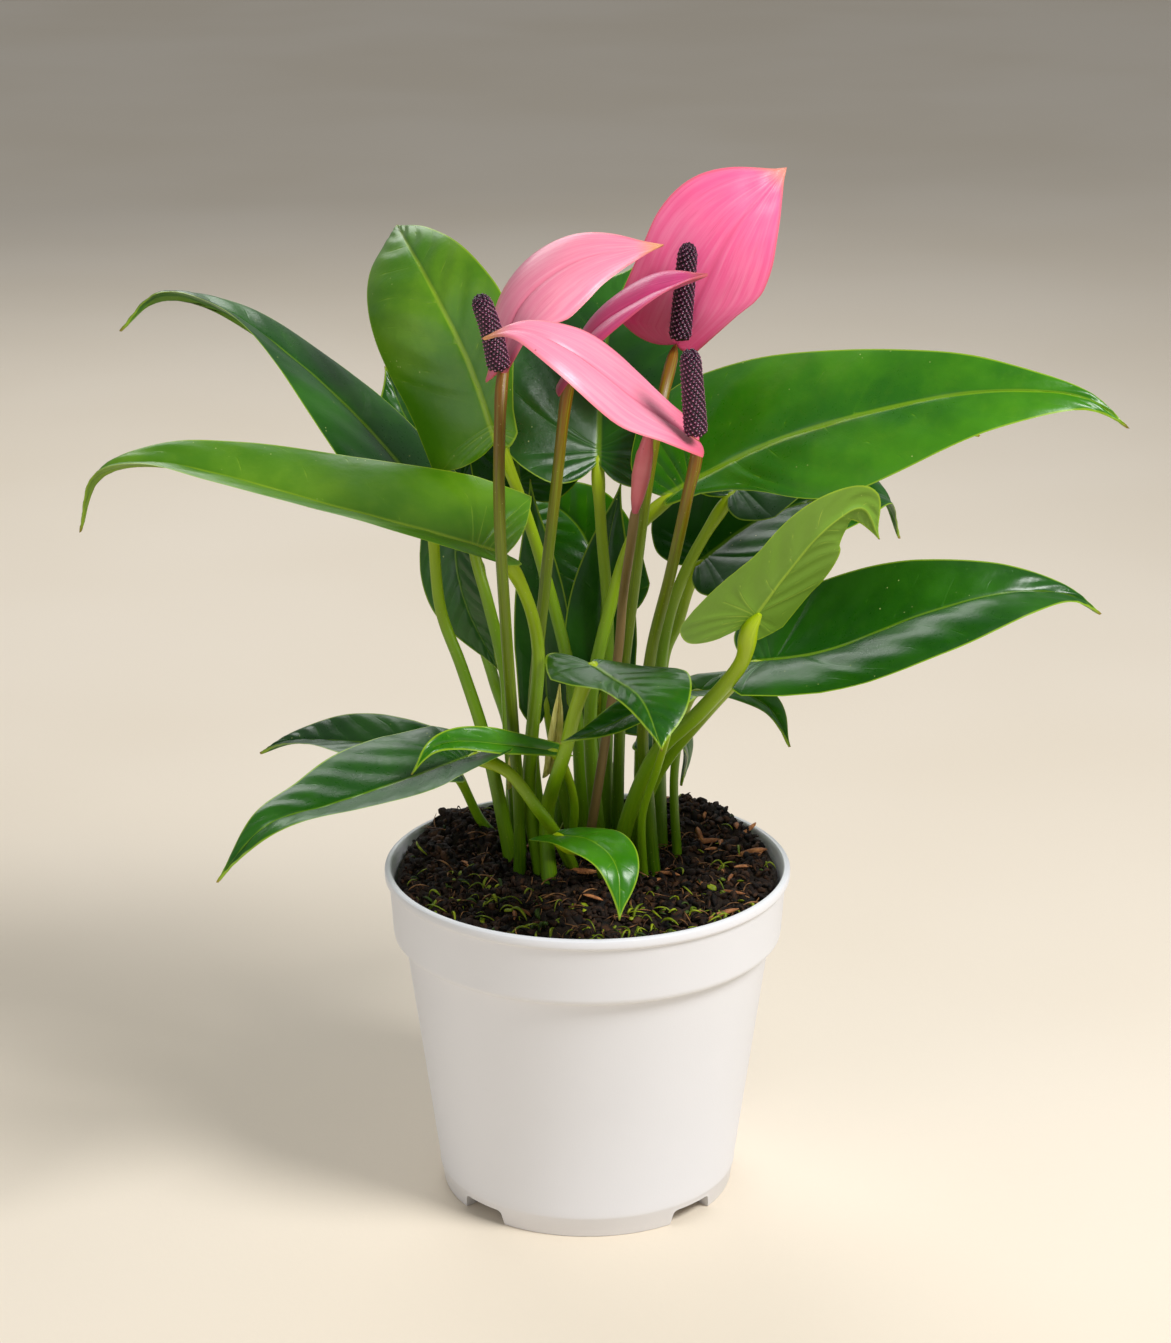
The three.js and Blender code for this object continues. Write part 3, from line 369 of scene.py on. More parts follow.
class Wire:
    """A number in a node tree that takes part in Python sums"""

    def __init__(self, tree, socket):
        self.tree, self.socket = tree, socket

    def math(self, operation, *terms):
        node = self.tree.nodes.new("ShaderNodeMath")
        node.operation = operation
        for slot, term in zip(node.inputs, terms):
            plug(self.tree, slot, term)
        return Wire(self.tree, node.outputs[0])

    def __add__(self, other):
        return self.math("ADD", self, other)

    def __radd__(self, other):
        return self.math("ADD", other, self)

    def __sub__(self, other):
        return self.math("SUBTRACT", self, other)

    def __rsub__(self, other):
        return self.math("SUBTRACT", other, self)

    def __mul__(self, other):
        return self.math("MULTIPLY", self, other)

    def __rmul__(self, other):
        return self.math("MULTIPLY", other, self)

    def __truediv__(self, other):
        return self.math("DIVIDE", self, other)

    def __pow__(self, other):
        return self.math("POWER", self, other)

    def most(self, other):
        return self.math("MAXIMUM", self, other)

    def part(self):
        """What is left above the whole number"""
        return self.math("FRACT", self)

    def ramp(self, low, high):
        """0 below low and 1 above high, with a soft rise between; falls where high is less"""
        node = self.tree.nodes.new("ShaderNodeMapRange")
        node.interpolation_type = "SMOOTHSTEP"
        rising = low <= high
        spans = (low, high, 0, 1) if rising else (high, low, 1, 0)
        for slot, term in zip(node.inputs, (self, *spans)):
            plug(self.tree, slot, term)
        return Wire(self.tree, node.outputs[0])


class Nodes:
    """The nodes of one tree, each made from its type, its settings and its sockets' values"""

    def __init__(self, tree):
        self.tree = tree

    def add(self, kind, settings=None, **values):
        return self.put(kind, settings, values)

    def put(self, kind, settings=None, values=None):
        node = self.tree.nodes.new(kind)
        for key, setting in (settings or {}).items():
            if key == "stops":
                while len(node.color_ramp.elements) < len(setting):
                    node.color_ramp.elements.new(0.5)
                for element, (place, color) in zip(node.color_ramp.elements, setting):
                    element.position, element.color = place, (*color, 1)
            else:
                setattr(node, key, setting)
        for key, value in (values or {}).items():
            plug(self.tree, find_socket(node.inputs, key), value)
        return node

    def wire(self, node, key=0):
        return Wire(self.tree, find_socket(node.outputs, key))

    def blend(self, share, first, second, mode="MIX"):
        """A colour between two, by share"""
        node = self.put("ShaderNodeMix", {"data_type": "RGBA", "blend_type": mode},
                        {"Factor_Float": share, "A_Color": first, "B_Color": second})
        return find_socket(node.outputs, "Result_Color")

    def noise(self, vector, scale, detail=3.0, rough=0.55):
        node = self.add("ShaderNodeTexNoise", None, Vector=vector, Scale=scale, Detail=detail,
                        Roughness=rough)
        return self.wire(node, "Fac" if "Fac" in node.outputs else 0)

    def cells(self, vector, scale, feature="F1"):
        return self.wire(self.add("ShaderNodeTexVoronoi", {"feature": feature}, Vector=vector,
                                  Scale=scale), "Distance")

    def place(self):
        """Object coordinates"""
        return find_socket(self.add("ShaderNodeTexCoord").outputs, "Object")

    def stretched(self, vector, scale):
        node = self.add("ShaderNodeMapping", {"vector_type": "POINT"}, Vector=vector, Scale=scale)
        return find_socket(node.outputs, "Vector")

    def attribute(self, name):
        return self.wire(self.add("ShaderNodeAttribute", {"attribute_name": name}), "Fac")

    def bumped(self, height, distance, strength=1.0, under=None):
        node = self.add("ShaderNodeBump", None, Height=height, Distance=distance,
                        Strength=strength)
        if under is not None:
            plug(self.tree, find_socket(node.inputs, "Normal"), under)
        return find_socket(node.outputs, "Normal")

    def surface(self, **values):
        """Sets the surface shader's sockets, with _ for a space in their names"""
        for key, value in values.items():
            plug(self.tree, find_socket(self.shader.inputs, key.replace("_", " ")), value)


def new_finish(name):
    """A material with an empty surface shader, and its nodes"""
    material = bpy.data.materials.new(name)
    material.use_nodes = True
    nodes = Nodes(material.node_tree)
    nodes.shader = next(n for n in material.node_tree.nodes if n.type == "BSDF_PRINCIPLED")
    return material, nodes


def paint(red, green, blue):
    """A colour as a paint chart gives it, 0 to 255, turned to the shader's own scale"""
    return tuple(round(((v / 255) ** 2.2), 4) for v in (red, green, blue))


# ---------------------------------------------------------------- finishes


def pot_finish():
    settings = bpy.context.scene.anthurium_pot
    material, nodes = new_finish("pot_plastic")
    place = nodes.place()
    height = nodes.wire(nodes.add("ShaderNodeSeparateXYZ", None, Vector=place), "Z")
    cloud = nodes.noise(place, 18, 4)
    grain = nodes.noise(place, 2600, 2)
    scuff = nodes.noise(nodes.stretched(place, (60, 60, 500)), 1.0, 5, 0.7)
    specks = nodes.cells(place, 140).ramp(0.085, 0.05) * nodes.noise(place, 35).ramp(0.58, 0.66)
    dusty = height.ramp(0.088, 0.101) * 0.55 + height.ramp(0.012, 0.0) * 0.35
    base = nodes.blend(cloud.ramp(0.35, 0.75) * 0.35, tuple(settings.color),
                       tuple(0.95 * v for v in settings.color))
    base = nodes.blend(specks * dusty, base, paint(96, 70, 48))
    # Painted shade near the table: the lowest 10 mm of the pot darken towards a warm grey, a shaded
    # copy of the floor's beige
    base = nodes.blend(height.ramp(0.010, 0.0) * 0.18, base, paint(196, 184, 168))
    rough = 0.36 + cloud * 0.1 + scuff.ramp(0.55, 0.75) * 0.12
    nodes.surface(Base_Color=base, Roughness=rough, Specular_IOR_Level=0.45,
                  Normal=nodes.bumped(grain + scuff * 0.4, 0.00004, 0.5))
    return material


def leaf_finish(name, upper, deep, vein, under, gloss, lines):
    """A blade: darker between its veins, with a bright midrib and margin and a paler underside"""
    material, nodes = new_finish(name)
    place = nodes.place()
    reach, edge = nodes.attribute("reach"), nodes.attribute("edge")
    side, low, along = nodes.attribute("vein"), nodes.attribute("under"), nodes.attribute("along")
    cloud = nodes.noise(place, 34, 4)
    fine = nodes.noise(place, 900, 3)
    mottle = nodes.noise(place, 170, 4, 0.65)
    color = nodes.blend(cloud.ramp(0.34, 0.7), deep, upper)
    color = nodes.blend(mottle.ramp(0.45, 0.8) * 0.1, color, vein)
    color = nodes.blend(side.ramp(1.6, 0.0) * 0.2, color, upper)
    color = nodes.blend(along.ramp(0.4, 0.0) * 0.4, color, deep)
    underside = nodes.blend(cloud.ramp(0.3, 0.7) * 0.4, under, upper)
    color = nodes.blend(low.ramp(0.4, 0.6), color, underside)
    side_line = side.ramp(0.3, 0.08) * (1 - along.ramp(0.75, 0.95)) * (low * 0.3 + lines)
    color = nodes.blend(side_line, color, vein)
    rib_width = 1.25 - along * 0.95
    rib = (reach / rib_width).ramp(1.0, 0.4)
    bright = paint(146, 178, 34)
    color = nodes.blend(rib * (0.85 - along * 0.3) * (lines + 0.5), color,
                        nodes.blend(0.45, bright, vein))
    color = nodes.blend(edge.ramp(0.5, 0.18) * 0.75, color, bright)
    freckle = nodes.cells(place, 420).ramp(0.12, 0.05) * nodes.noise(place, 75).ramp(0.56, 0.64)
    color = nodes.blend(freckle * 0.6, color, paint(205, 214, 130))
    color = nodes.blend(along.ramp(0.975, 1.0) * 0.75, color, paint(140, 96, 40))
    rough = gloss + 0.12 * fine + 0.16 * low + freckle * 0.1 + cloud.ramp(0.4, 0.7) * 0.06
    quilt = nodes.noise(place, 240, 3)
    normal = nodes.bumped(quilt, 0.0003, 0.4)
    normal = nodes.bumped(fine, 0.00005, 0.35, normal)
    normal = nodes.bumped(side.ramp(0.0, 0.6), 0.0001, 0.5, normal)
    nodes.surface(Base_Color=color, Roughness=rough, Specular_IOR_Level=0.42, Normal=normal)
    return material


def spathe_finish(name, pink, deep, pale, back, tip):
    """A waxy spathe, streaked along its length, deep at the foot and yellowish at the tip"""
    material, nodes = new_finish(name)
    place = nodes.place()
    share, edge = nodes.attribute("share"), nodes.attribute("edge")
    along, low = nodes.attribute("along"), nodes.attribute("under")
    lines = find_socket(nodes.add("ShaderNodeCombineXYZ", None, X=share * 9, Y=along * 1.6,
                                  Z=low * 4).outputs, 0)
    streak = nodes.noise(lines, 1.0, 4, 0.6)
    veins = nodes.wire(nodes.add("ShaderNodeTexNoise", None, Vector=lines, Scale=2.6, Detail=2))
    cloud = nodes.noise(place, 60, 4)
    color = nodes.blend(streak.ramp(0.36, 0.74) * 0.5, pink, pale)
    color = nodes.blend(low.ramp(0.4, 0.6), color, nodes.blend(streak.ramp(0.35, 0.7), back, pale))
    color = nodes.blend(cloud.ramp(0.5, 0.8) * 0.35, color, pink)
    color = nodes.blend(veins.ramp(0.55, 0.7) * 0.2, color, deep)
    rib = share.ramp(0.09, 0.0) * (1 - along.ramp(0.5, 0.95))
    color = nodes.blend(rib * 0.35, color, deep)
    color = nodes.blend(along.ramp(0.24, 0.0) * 0.62, color, deep)
    color = nodes.blend(edge.ramp(0.9, 0.2) * 0.45, color, paint(214, 92, 84))
    color = nodes.blend(along.ramp(0.86, 0.99) * 0.8, color, tip)
    specks = nodes.cells(place, 160).ramp(0.06, 0.03) * nodes.noise(place, 40).ramp(0.56, 0.6)
    color = nodes.blend(specks * 0.6, color, paint(150, 60, 60))
    fine = nodes.noise(place, 1100, 2)
    normal = nodes.bumped(streak, 0.0003, 0.4)
    normal = nodes.bumped(fine, 0.00004, 0.35, normal)
    nodes.surface(Base_Color=color, Roughness=0.27 + fine * 0.12, Specular_IOR_Level=0.45,
                  Normal=normal)
    return material


def stalk_finish(name, foot, middle, top, blush, blush_share, turn):
    """A stalk: its colours from the foot to the top, with blushes and fine lines along it"""
    material, nodes = new_finish(name)
    place = nodes.place()
    along, around = nodes.attribute("along"), nodes.attribute("around")
    lines = find_socket(nodes.add("ShaderNodeCombineXYZ", None,
                                  X=around * 9, Y=along * 5).outputs, 0)
    streak = nodes.noise(lines, 1.4, 3)
    cloud = nodes.noise(place, 38, 3)
    color = nodes.blend(along.ramp(0.0, 0.5), foot, middle)
    color = nodes.blend(along.ramp(turn, 1.0), color, top)
    color = nodes.blend(streak.ramp(0.45, 0.72) * 0.4, color, paint(134, 162, 16))
    color = nodes.blend(cloud.ramp(0.52, 0.7) * blush_share, color, blush)
    specks = nodes.cells(place, 520).ramp(0.12, 0.05)
    color = nodes.blend(specks * 0.35, color, paint(196, 204, 120))
    fine = nodes.noise(place, 1400, 2)
    normal = nodes.bumped(streak, 0.00018, 0.5)
    normal = nodes.bumped(fine, 0.00004, 0.4, normal)
    nodes.surface(Base_Color=color, Roughness=0.34 + fine * 0.12, Specular_IOR_Level=0.5,
                  Normal=normal)
    return material


def plain_finish(name, light, dark, scale, rough=0.8, bump=0.0003, shine=0.3):
    """A mottled finish for small things"""
    material, nodes = new_finish(name)
    place = nodes.place()
    cloud = nodes.noise(place, scale, 5, 0.65)
    fine = nodes.noise(place, scale * 9, 3)
    color = nodes.blend(cloud.ramp(0.35, 0.7), dark, light)
    nodes.surface(Base_Color=color, Roughness=rough - 0.2 * cloud, Specular_IOR_Level=shine,
                  Normal=nodes.bumped(cloud + fine * 0.4, bump, 0.7))
    return material


def sheath_finish():
    material, nodes = new_finish("sheath_papery")
    place = nodes.place()
    fibre = nodes.noise(nodes.stretched(place, (1500, 1500, 90)), 1.0, 4, 0.7)
    cloud = nodes.noise(place, 120, 3)
    color = nodes.blend(fibre.ramp(0.3, 0.7), paint(168, 160, 70), paint(206, 202, 128))
    color = nodes.blend(cloud.ramp(0.5, 0.75) * 0.6, color, paint(132, 150, 36))
    nodes.surface(Base_Color=color, Roughness=0.55 + 0.2 * fibre, Specular_IOR_Level=0.35,
                  Normal=nodes.bumped(fibre, 0.0002, 0.7))
    return material


# ---------------------------------------------------------------- curves and shells


def unit(vectors):
    return vectors / np.linalg.norm(vectors, axis=-1, keepdims=True)


def smooth_path(points, steps=40):
    """A smooth curve through the points, as many short straight steps"""
    knots = [np.array(p, float) for p in points]
    last = len(knots) - 1
    path = [knots[0]]
    for i in range(last):
        p1, p2 = knots[i], knots[i + 1]
        p0 = knots[i - 1] if i > 0 else 2 * p1 - p2
        p3 = knots[i + 2] if i + 2 <= last else 2 * p2 - p1
        d0, d1, d2 = (max(np.linalg.norm(b - a) ** 0.5, 1e-4)
                      for a, b in ((p0, p1), (p1, p2), (p2, p3)))
        leave = ((p1 - p0) / d0 - (p2 - p0) / (d0 + d1) + (p2 - p1) / d1) * d1
        arrive = ((p2 - p1) / d1 - (p3 - p1) / (d1 + d2) + (p3 - p2) / d2) * d1
        for w in np.linspace(0, 1, steps + 1)[1:]:
            path.append((2 * p1 - 2 * p2 + leave + arrive) * w**3
                        + (-3 * p1 + 3 * p2 - 2 * leave - arrive) * w**2 + leave * w + p1)
    return np.array(path)


class Rail:
    """A curve with a frame at every place along it, carried on without turning about it"""

    def __init__(self, points, face, twist=0, count=40):
        path = smooth_path(points)
        walked = np.r_[0, np.cumsum(np.linalg.norm(np.diff(path, axis=0), axis=1))]
        self.length, self.count = walked[-1], count
        at = np.linspace(0, self.length, count + 1)

        def pick(places):
            return np.stack([np.interp(places, walked, path[:, k]) for k in range(3)], 1)

        step = self.length * 1e-3
        self.points = pick(at)
        ahead, behind = (np.clip(at + s, 0, self.length) for s in (step, -step))
        self.tangents = unit(pick(ahead) - pick(behind))
        normal, normals = np.array(face, float), []
        for i, tangent in enumerate(self.tangents):
            normal = unit(normal - tangent * (normal @ tangent))
            turn = math.radians(twist * i / count)
            normals.append(normal * math.cos(turn) + np.cross(tangent, normal) * math.sin(turn))
        self.normals = np.array(normals)

    def at(self, share):
        """Points, tangents, normals and sides at shares of the length"""
        place = np.clip(share, 0, 1) * self.count
        i = np.minimum(place.astype(int), self.count - 1)
        w = (place - i)[..., None]
        point, tangent, normal = (a[i] * (1 - w) + a[i + 1] * w
                                  for a in (self.points, self.tangents, self.normals))
        tangent = unit(tangent)
        normal = unit(normal - tangent * (normal * tangent).sum(-1, keepdims=True))
        return point, tangent, normal, np.cross(tangent, normal)


def smooth_outline(outline, share):
    """Places along a smooth curve through an outline's points"""
    knots = np.array(outline, float)
    last = len(knots) - 1
    place = np.clip(share, 0, 1) * last
    i = np.minimum(place.astype(int), last - 1)
    p0, p1, p2, p3 = (knots[np.clip(i + k, 0, last)] for k in (-1, 0, 1, 2))
    leave, arrive, w = (p2 - p0) / 2, (p3 - p1) / 2, (place - i)[:, None]
    return ((2 * p1 - 2 * p2 + leave + arrive) * w**3
            + (-3 * p1 + 3 * p2 - 2 * leave - arrive) * w**2 + leave * w + p1)


def new_piece(name, vertices, faces, material, attributes=None, smooth=True, sharp=55):
    """An object with its place in its mesh, from points in millimetres"""
    mesh = bpy.data.meshes.new(name)
    mesh.from_pydata([tuple(v) for v in np.asarray(vertices) * MM], [],
                     [tuple(map(int, f)) for f in faces])
    for key, values in (attributes or {}).items():
        attribute = mesh.attributes.new(key, "FLOAT", "POINT")
        attribute.data.foreach_set("value", np.asarray(values, "f"))
    mesh.validate()
    if enclosed(mesh) < 0:
        mesh.flip_normals()
    if smooth:
        mesh.shade_smooth()
        mesh.set_sharp_from_angle(angle=math.radians(sharp))
    if material:
        mesh.materials.append(material)
    piece = bpy.data.objects.new(name, mesh)
    bpy.context.scene.collection.objects.link(piece)
    return piece


def enclosed(mesh):
    """The signed volume inside a mesh"""
    points = np.empty(len(mesh.vertices) * 3, "f")
    mesh.vertices.foreach_get("co", points)
    mesh.calc_loop_triangles()
    corners = np.empty(len(mesh.loop_triangles) * 3, "i")
    mesh.loop_triangles.foreach_get("vertices", corners)
    a, b, c = points.reshape(-1, 3)[corners.reshape(-1, 3)].transpose(1, 0, 2).astype(float)
    return float(np.einsum("ij,ij->i", a, np.cross(b, c)).sum())


def settle(piece):
    """Turns a piece's modifiers into plain mesh and removes them"""
    graph = bpy.context.evaluated_depsgraph_get()
    mesh = bpy.data.meshes.new_from_object(piece.evaluated_get(graph), depsgraph=graph)
    piece.modifiers.clear()
    piece.data = mesh
    mesh.name = piece.name
    return piece


def blade_piece(name, leaf, outline, material, thickness, veins, columns, quilting, ripple):
    """A thin closed blade along its midrib, quilted between its side veins"""
    rail = Rail(leaf["spine"], leaf["face"], leaf["twist"])
    length, rows = rail.length, veins * 6
    step = np.arange(1, rows) / rows
    turned = step**0.75
    edge = smooth_outline(outline, turned)
    column = np.arange(-columns, columns + 1)
    share = (np.abs(column) / columns) ** 1.3
    left = column < 0

    def pair(key):
        return np.where(left, leaf[key][0], leaf[key][1])[None, :]

    forward = np.abs(edge[:, :1]) ** pair("full") * length
    margin_along = np.where(edge[:, :1] < 0, edge[:, :1] * pair("lobe"), forward)
    waist_share = np.where(left, *leaf.get("waist", (1, 1)))[None, :]
    filled = np.clip(margin_along / (0.42 * length), 0, 1)
    filled = waist_share + (1 - waist_share) * filled**2 * (3 - 2 * filled)
    margin_across = np.maximum(edge[:, 1:], 0) * pair("half") * filled
    foot = np.clip(margin_along - 0.75 * margin_across,
                   length * 0.014 * turned[:, None] * 11, length * 0.99)
    along = foot + (margin_along - foot) * share**1.2
    across = margin_across * share
    fold = np.radians(pair("fold"))
    bend = np.radians(pair("curl")) / pair("half")
    bend = np.where(np.abs(bend) < 1e-6, 1e-6, bend)
    angle = fold - bend * across
    out = (np.sin(fold) - np.sin(angle)) / bend
    rise = (np.cos(angle) - np.cos(fold)) / bend
    point, tangent, normal, side = rail.at(along / length)
    sign = np.where(left, -1, 1)[None, :]

    def lifted(lift):
        return (point + tangent * np.minimum(along, 0)[..., None]
                + side * (sign * (out - lift * np.sin(angle)))[..., None]
                + normal * (rise + lift * np.cos(angle))[..., None])

    flat = lifted(0)
    down_rows = np.gradient(flat, step, axis=0)
    outward = unit(flat[:, 1:] - flat[:, :-1] + 1e-9)
    outward = np.concatenate([outward, outward[:, -1:]], 1)
    spacing = np.linalg.norm(np.cross(down_rows, outward), axis=-1) / veins
    wander = (0.24 * np.sin(7.3 * step[:, None] + 2.1 * sign + leaf["spine"][-1][1])
              + 0.1 * np.sin(5.0 * share + 17.0 * step[:, None]))
    phase = step[:, None] * veins + wander + 0.18 * sign - 0.55 * share**2
    near = np.abs(phase - np.round(phase))
    waist = np.sin(np.pi * np.clip(share, 0.02, 0.98)) ** 0.6
    puff = (QUILT_SHARE * quilting * np.minimum(spacing / 5, 1.2)
            * np.sin(np.pi * near) ** 2 * 2 * waist)
    wave = ripple * share**2 * np.sin(2 * np.pi * (2.6 * step[:, None] + 0.13 * sign)
                                      + leaf["spine"][-1][0])
    wave = wave * np.minimum(margin_across / 10, 1)
    reach = across
    groove = 0.22 * np.exp(-((reach / 0.7) ** 2))
    taper = 1 - step[:, None]
    keel = (0.3 + 0.8 * taper) * np.exp(-((reach / (0.5 + 0.7 * taper)) ** 2))
    body = thickness / 2 * np.minimum(1, 0.35 + (1 - share) * 2.5)
    at_margin = np.abs(column) == columns
    top = lifted(np.where(at_margin, wave, puff + wave - groove + body))
    bottom = lifted(np.where(at_margin, wave, puff + wave - keel - body))
    ends, _, _, _ = rail.at(np.array([0.0, 1.0]))
    width = 2 * columns + 1
    lines = (rows - 1) * width
    vertices = np.concatenate([ends, top.reshape(-1, 3), bottom.reshape(-1, 3)])
    upper = 2 + np.arange(lines).reshape(rows - 1, width)
    lower = upper + lines
    lower[:, 0], lower[:, -1] = upper[:, 0], upper[:, -1]
    faces = []
    for sheet, flip in ((upper, False), (lower, True)):
        quads = np.stack([sheet[:-1, :-1], sheet[:-1, 1:], sheet[1:, 1:], sheet[1:, :-1]], -1)
        start = [(0, b, a) for a, b in zip(sheet[0, :-1], sheet[0, 1:])]
        finish = [(1, a, b) for a, b in zip(sheet[-1, :-1], sheet[-1, 1:])]
        made = [tuple(q) for q in quads.reshape(-1, 4)] + start + finish
        faces += [f[::-1] for f in made] if flip else made
    used = np.ones(len(vertices), bool)
    used[2 + lines:].reshape(rows - 1, width)[:, [0, -1]] = False
    order = np.cumsum(used) - 1

    def over(values, joint, tip):
        twice = np.broadcast_to(values, (rows - 1, width)).ravel()
        return np.concatenate([[joint, tip], twice, twice])[used]

    low = np.concatenate([[0.5, 0.5], np.where(np.tile(at_margin, rows - 1), 0.5, 0),
                          np.ones(lines)])[used]
    attributes = {
        "reach": over(across * 24 / max(leaf["half"]), 0, 0),
        "edge": over(margin_across * (1 - share), 0, 0),
        "vein": over(near * spacing, 0, 0),
        "share": over(share[None, :], 0, 0),
        "along": over(np.clip(along / length, 0, 1), 0, 1),
        "under": low,
    }
    faces = [tuple(order[list(f)]) for f in faces]
    return new_piece(name, vertices[used], faces, material, attributes)


def turned_piece(name, rail, shares, radius, sides, material, wrap=None):
    """A closed turned form along a rail, with a radius at each share of its length"""
    point, _, normal, side = rail.at(shares)
    turn = 2 * np.pi * np.arange(sides) / sides
    wide = np.broadcast_to(np.asarray(radius)[:, None], (len(shares), sides)).copy()
    if wrap is not None:
        wide *= wrap(shares[:, None], turn[None, :])
    rings = (point[:, None] + side[:, None] * (np.cos(turn)[:, None] * wide[..., None])
             + normal[:, None] * (np.sin(turn)[:, None] * wide[..., None]))
    vertices = np.concatenate([rings.reshape(-1, 3), point[:1], point[-1:]])
    ring = np.arange(len(shares) * sides).reshape(-1, sides)
    faces = []
    for k in range(sides):
        m = (k + 1) % sides
        faces += [(a, b, c, d) for a, b, c, d in
                  zip(ring[:-1, k], ring[:-1, m], ring[1:, m], ring[1:, k])]
        faces += [(ring[0, m], ring[0, k], len(vertices) - 2),
                  (ring[-1, k], ring[-1, m], len(vertices) - 1)]
    attributes = {
        "along": np.r_[np.repeat(shares, sides), 0, 1],
        "around": np.r_[np.tile(np.abs(np.arange(sides) / sides - 0.5) * 2, len(shares)), 0, 0],
    }
    return new_piece(name, vertices, faces, material, attributes)


def mix_top(x, y):
    """Height of the potting mix, in millimetres"""
    share = np.hypot(x, y) / 60
    top = bpy.context.scene.anthurium_mix.level / MM - WALL_DIP * share**4
    for cx, cy, height, spread in MOUNDS:
        top = top + height * np.exp(-((x - cx) ** 2 + (y - cy) ** 2) / (2 * spread**2))
    return top


def stalk_route(leaf, joined):
    """A stalk's points from inside the mix to just under its blade, in millimetres"""
    x, y = leaf["root"]
    thin = leaf["stalk"][1] / 2
    root = (x, y, float(mix_top(x, y)) - 2.5)
    rail = Rail(leaf["spine"], leaf["face"], 0)
    point, _, normal, _ = rail.at(np.array([0.0, min(0.12, 5 / rail.length)]))
    before = np.array(leaf["mids"][-1] if leaf["mids"] else root, float)
    arrive = unit(point[0] - before)
    away = -1 if arrive @ normal[0] > -0.05 else 1
    sink = thin * (0.75 if not joined else 0.5)
    route = [root, *leaf["mids"], point[0] + normal[0] * away * sink]
    if away < 0:
        route.append(point[1] - normal[1] * thin * 0.75)
    return route


def stalk_piece(name, leaf, material, knee, joined=False, sides=14, rings=64):
    """A stalk that thins towards its top and swells into a knee under the blade"""
    rail = Rail(stalk_route(leaf, joined), (0.3, -0.8, 0.2), 0, 80)
    shares = np.linspace(0, 1, rings) ** 0.9
    thick, thin = leaf["stalk"]
    radius = (thick + (thin - thick) * np.sqrt(shares)) / 2
    end = 1 - 5 / rail.length
    radius *= 1 + knee * np.exp(-(((shares - end + 0.035) / (4.5 / rail.length)) ** 2))
    radius *= 1 + 0.12 * np.exp(-((shares / 0.06) ** 2))
    radius *= np.sqrt(np.clip((1 - shares) / (1 - end) + 0.12, 0.12, 1))

    def groove(share, turn):
        return (1 + 0.035 * np.cos(3 * turn + 4 * share)
                - 0.05 * np.exp(-((turn - np.pi / 2) ** 2) * 4))

    return turned_piece(name, rail, shares, radius, sides, material, groove)


# ---------------------------------------------------------------- geometry node trees


def new_tree(name, inputs):
    """An empty geometry tree with named number inputs, its nodes and its input node"""
    tree = bpy.data.node_groups.new(name, "GeometryNodeTree")
    tree.interface.new_socket("Geometry", in_out="INPUT", socket_type="NodeSocketGeometry")
    tree.interface.new_socket("Geometry", in_out="OUTPUT", socket_type="NodeSocketGeometry")
    for label, kind, default in inputs:
        socket = tree.interface.new_socket(label, in_out="INPUT", socket_type=kind)
        socket.default_value = default
    nodes = Nodes(tree)
    return tree, nodes, nodes.add("NodeGroupInput"), nodes.add("NodeGroupOutput")


def run_tree(piece, tree, **values):
    """Runs a tree on a piece with its inputs set by identifier, and keeps the plain mesh"""
    modifier = piece.modifiers.new(tree.name, "NODES")
    modifier.node_group = tree
    for item in tree.interface.items_tree:
        if item.item_type == "SOCKET" and item.in_out == "INPUT" and item.name in values:
            modifier[item.identifier] = values[item.name]
    return settle(piece)


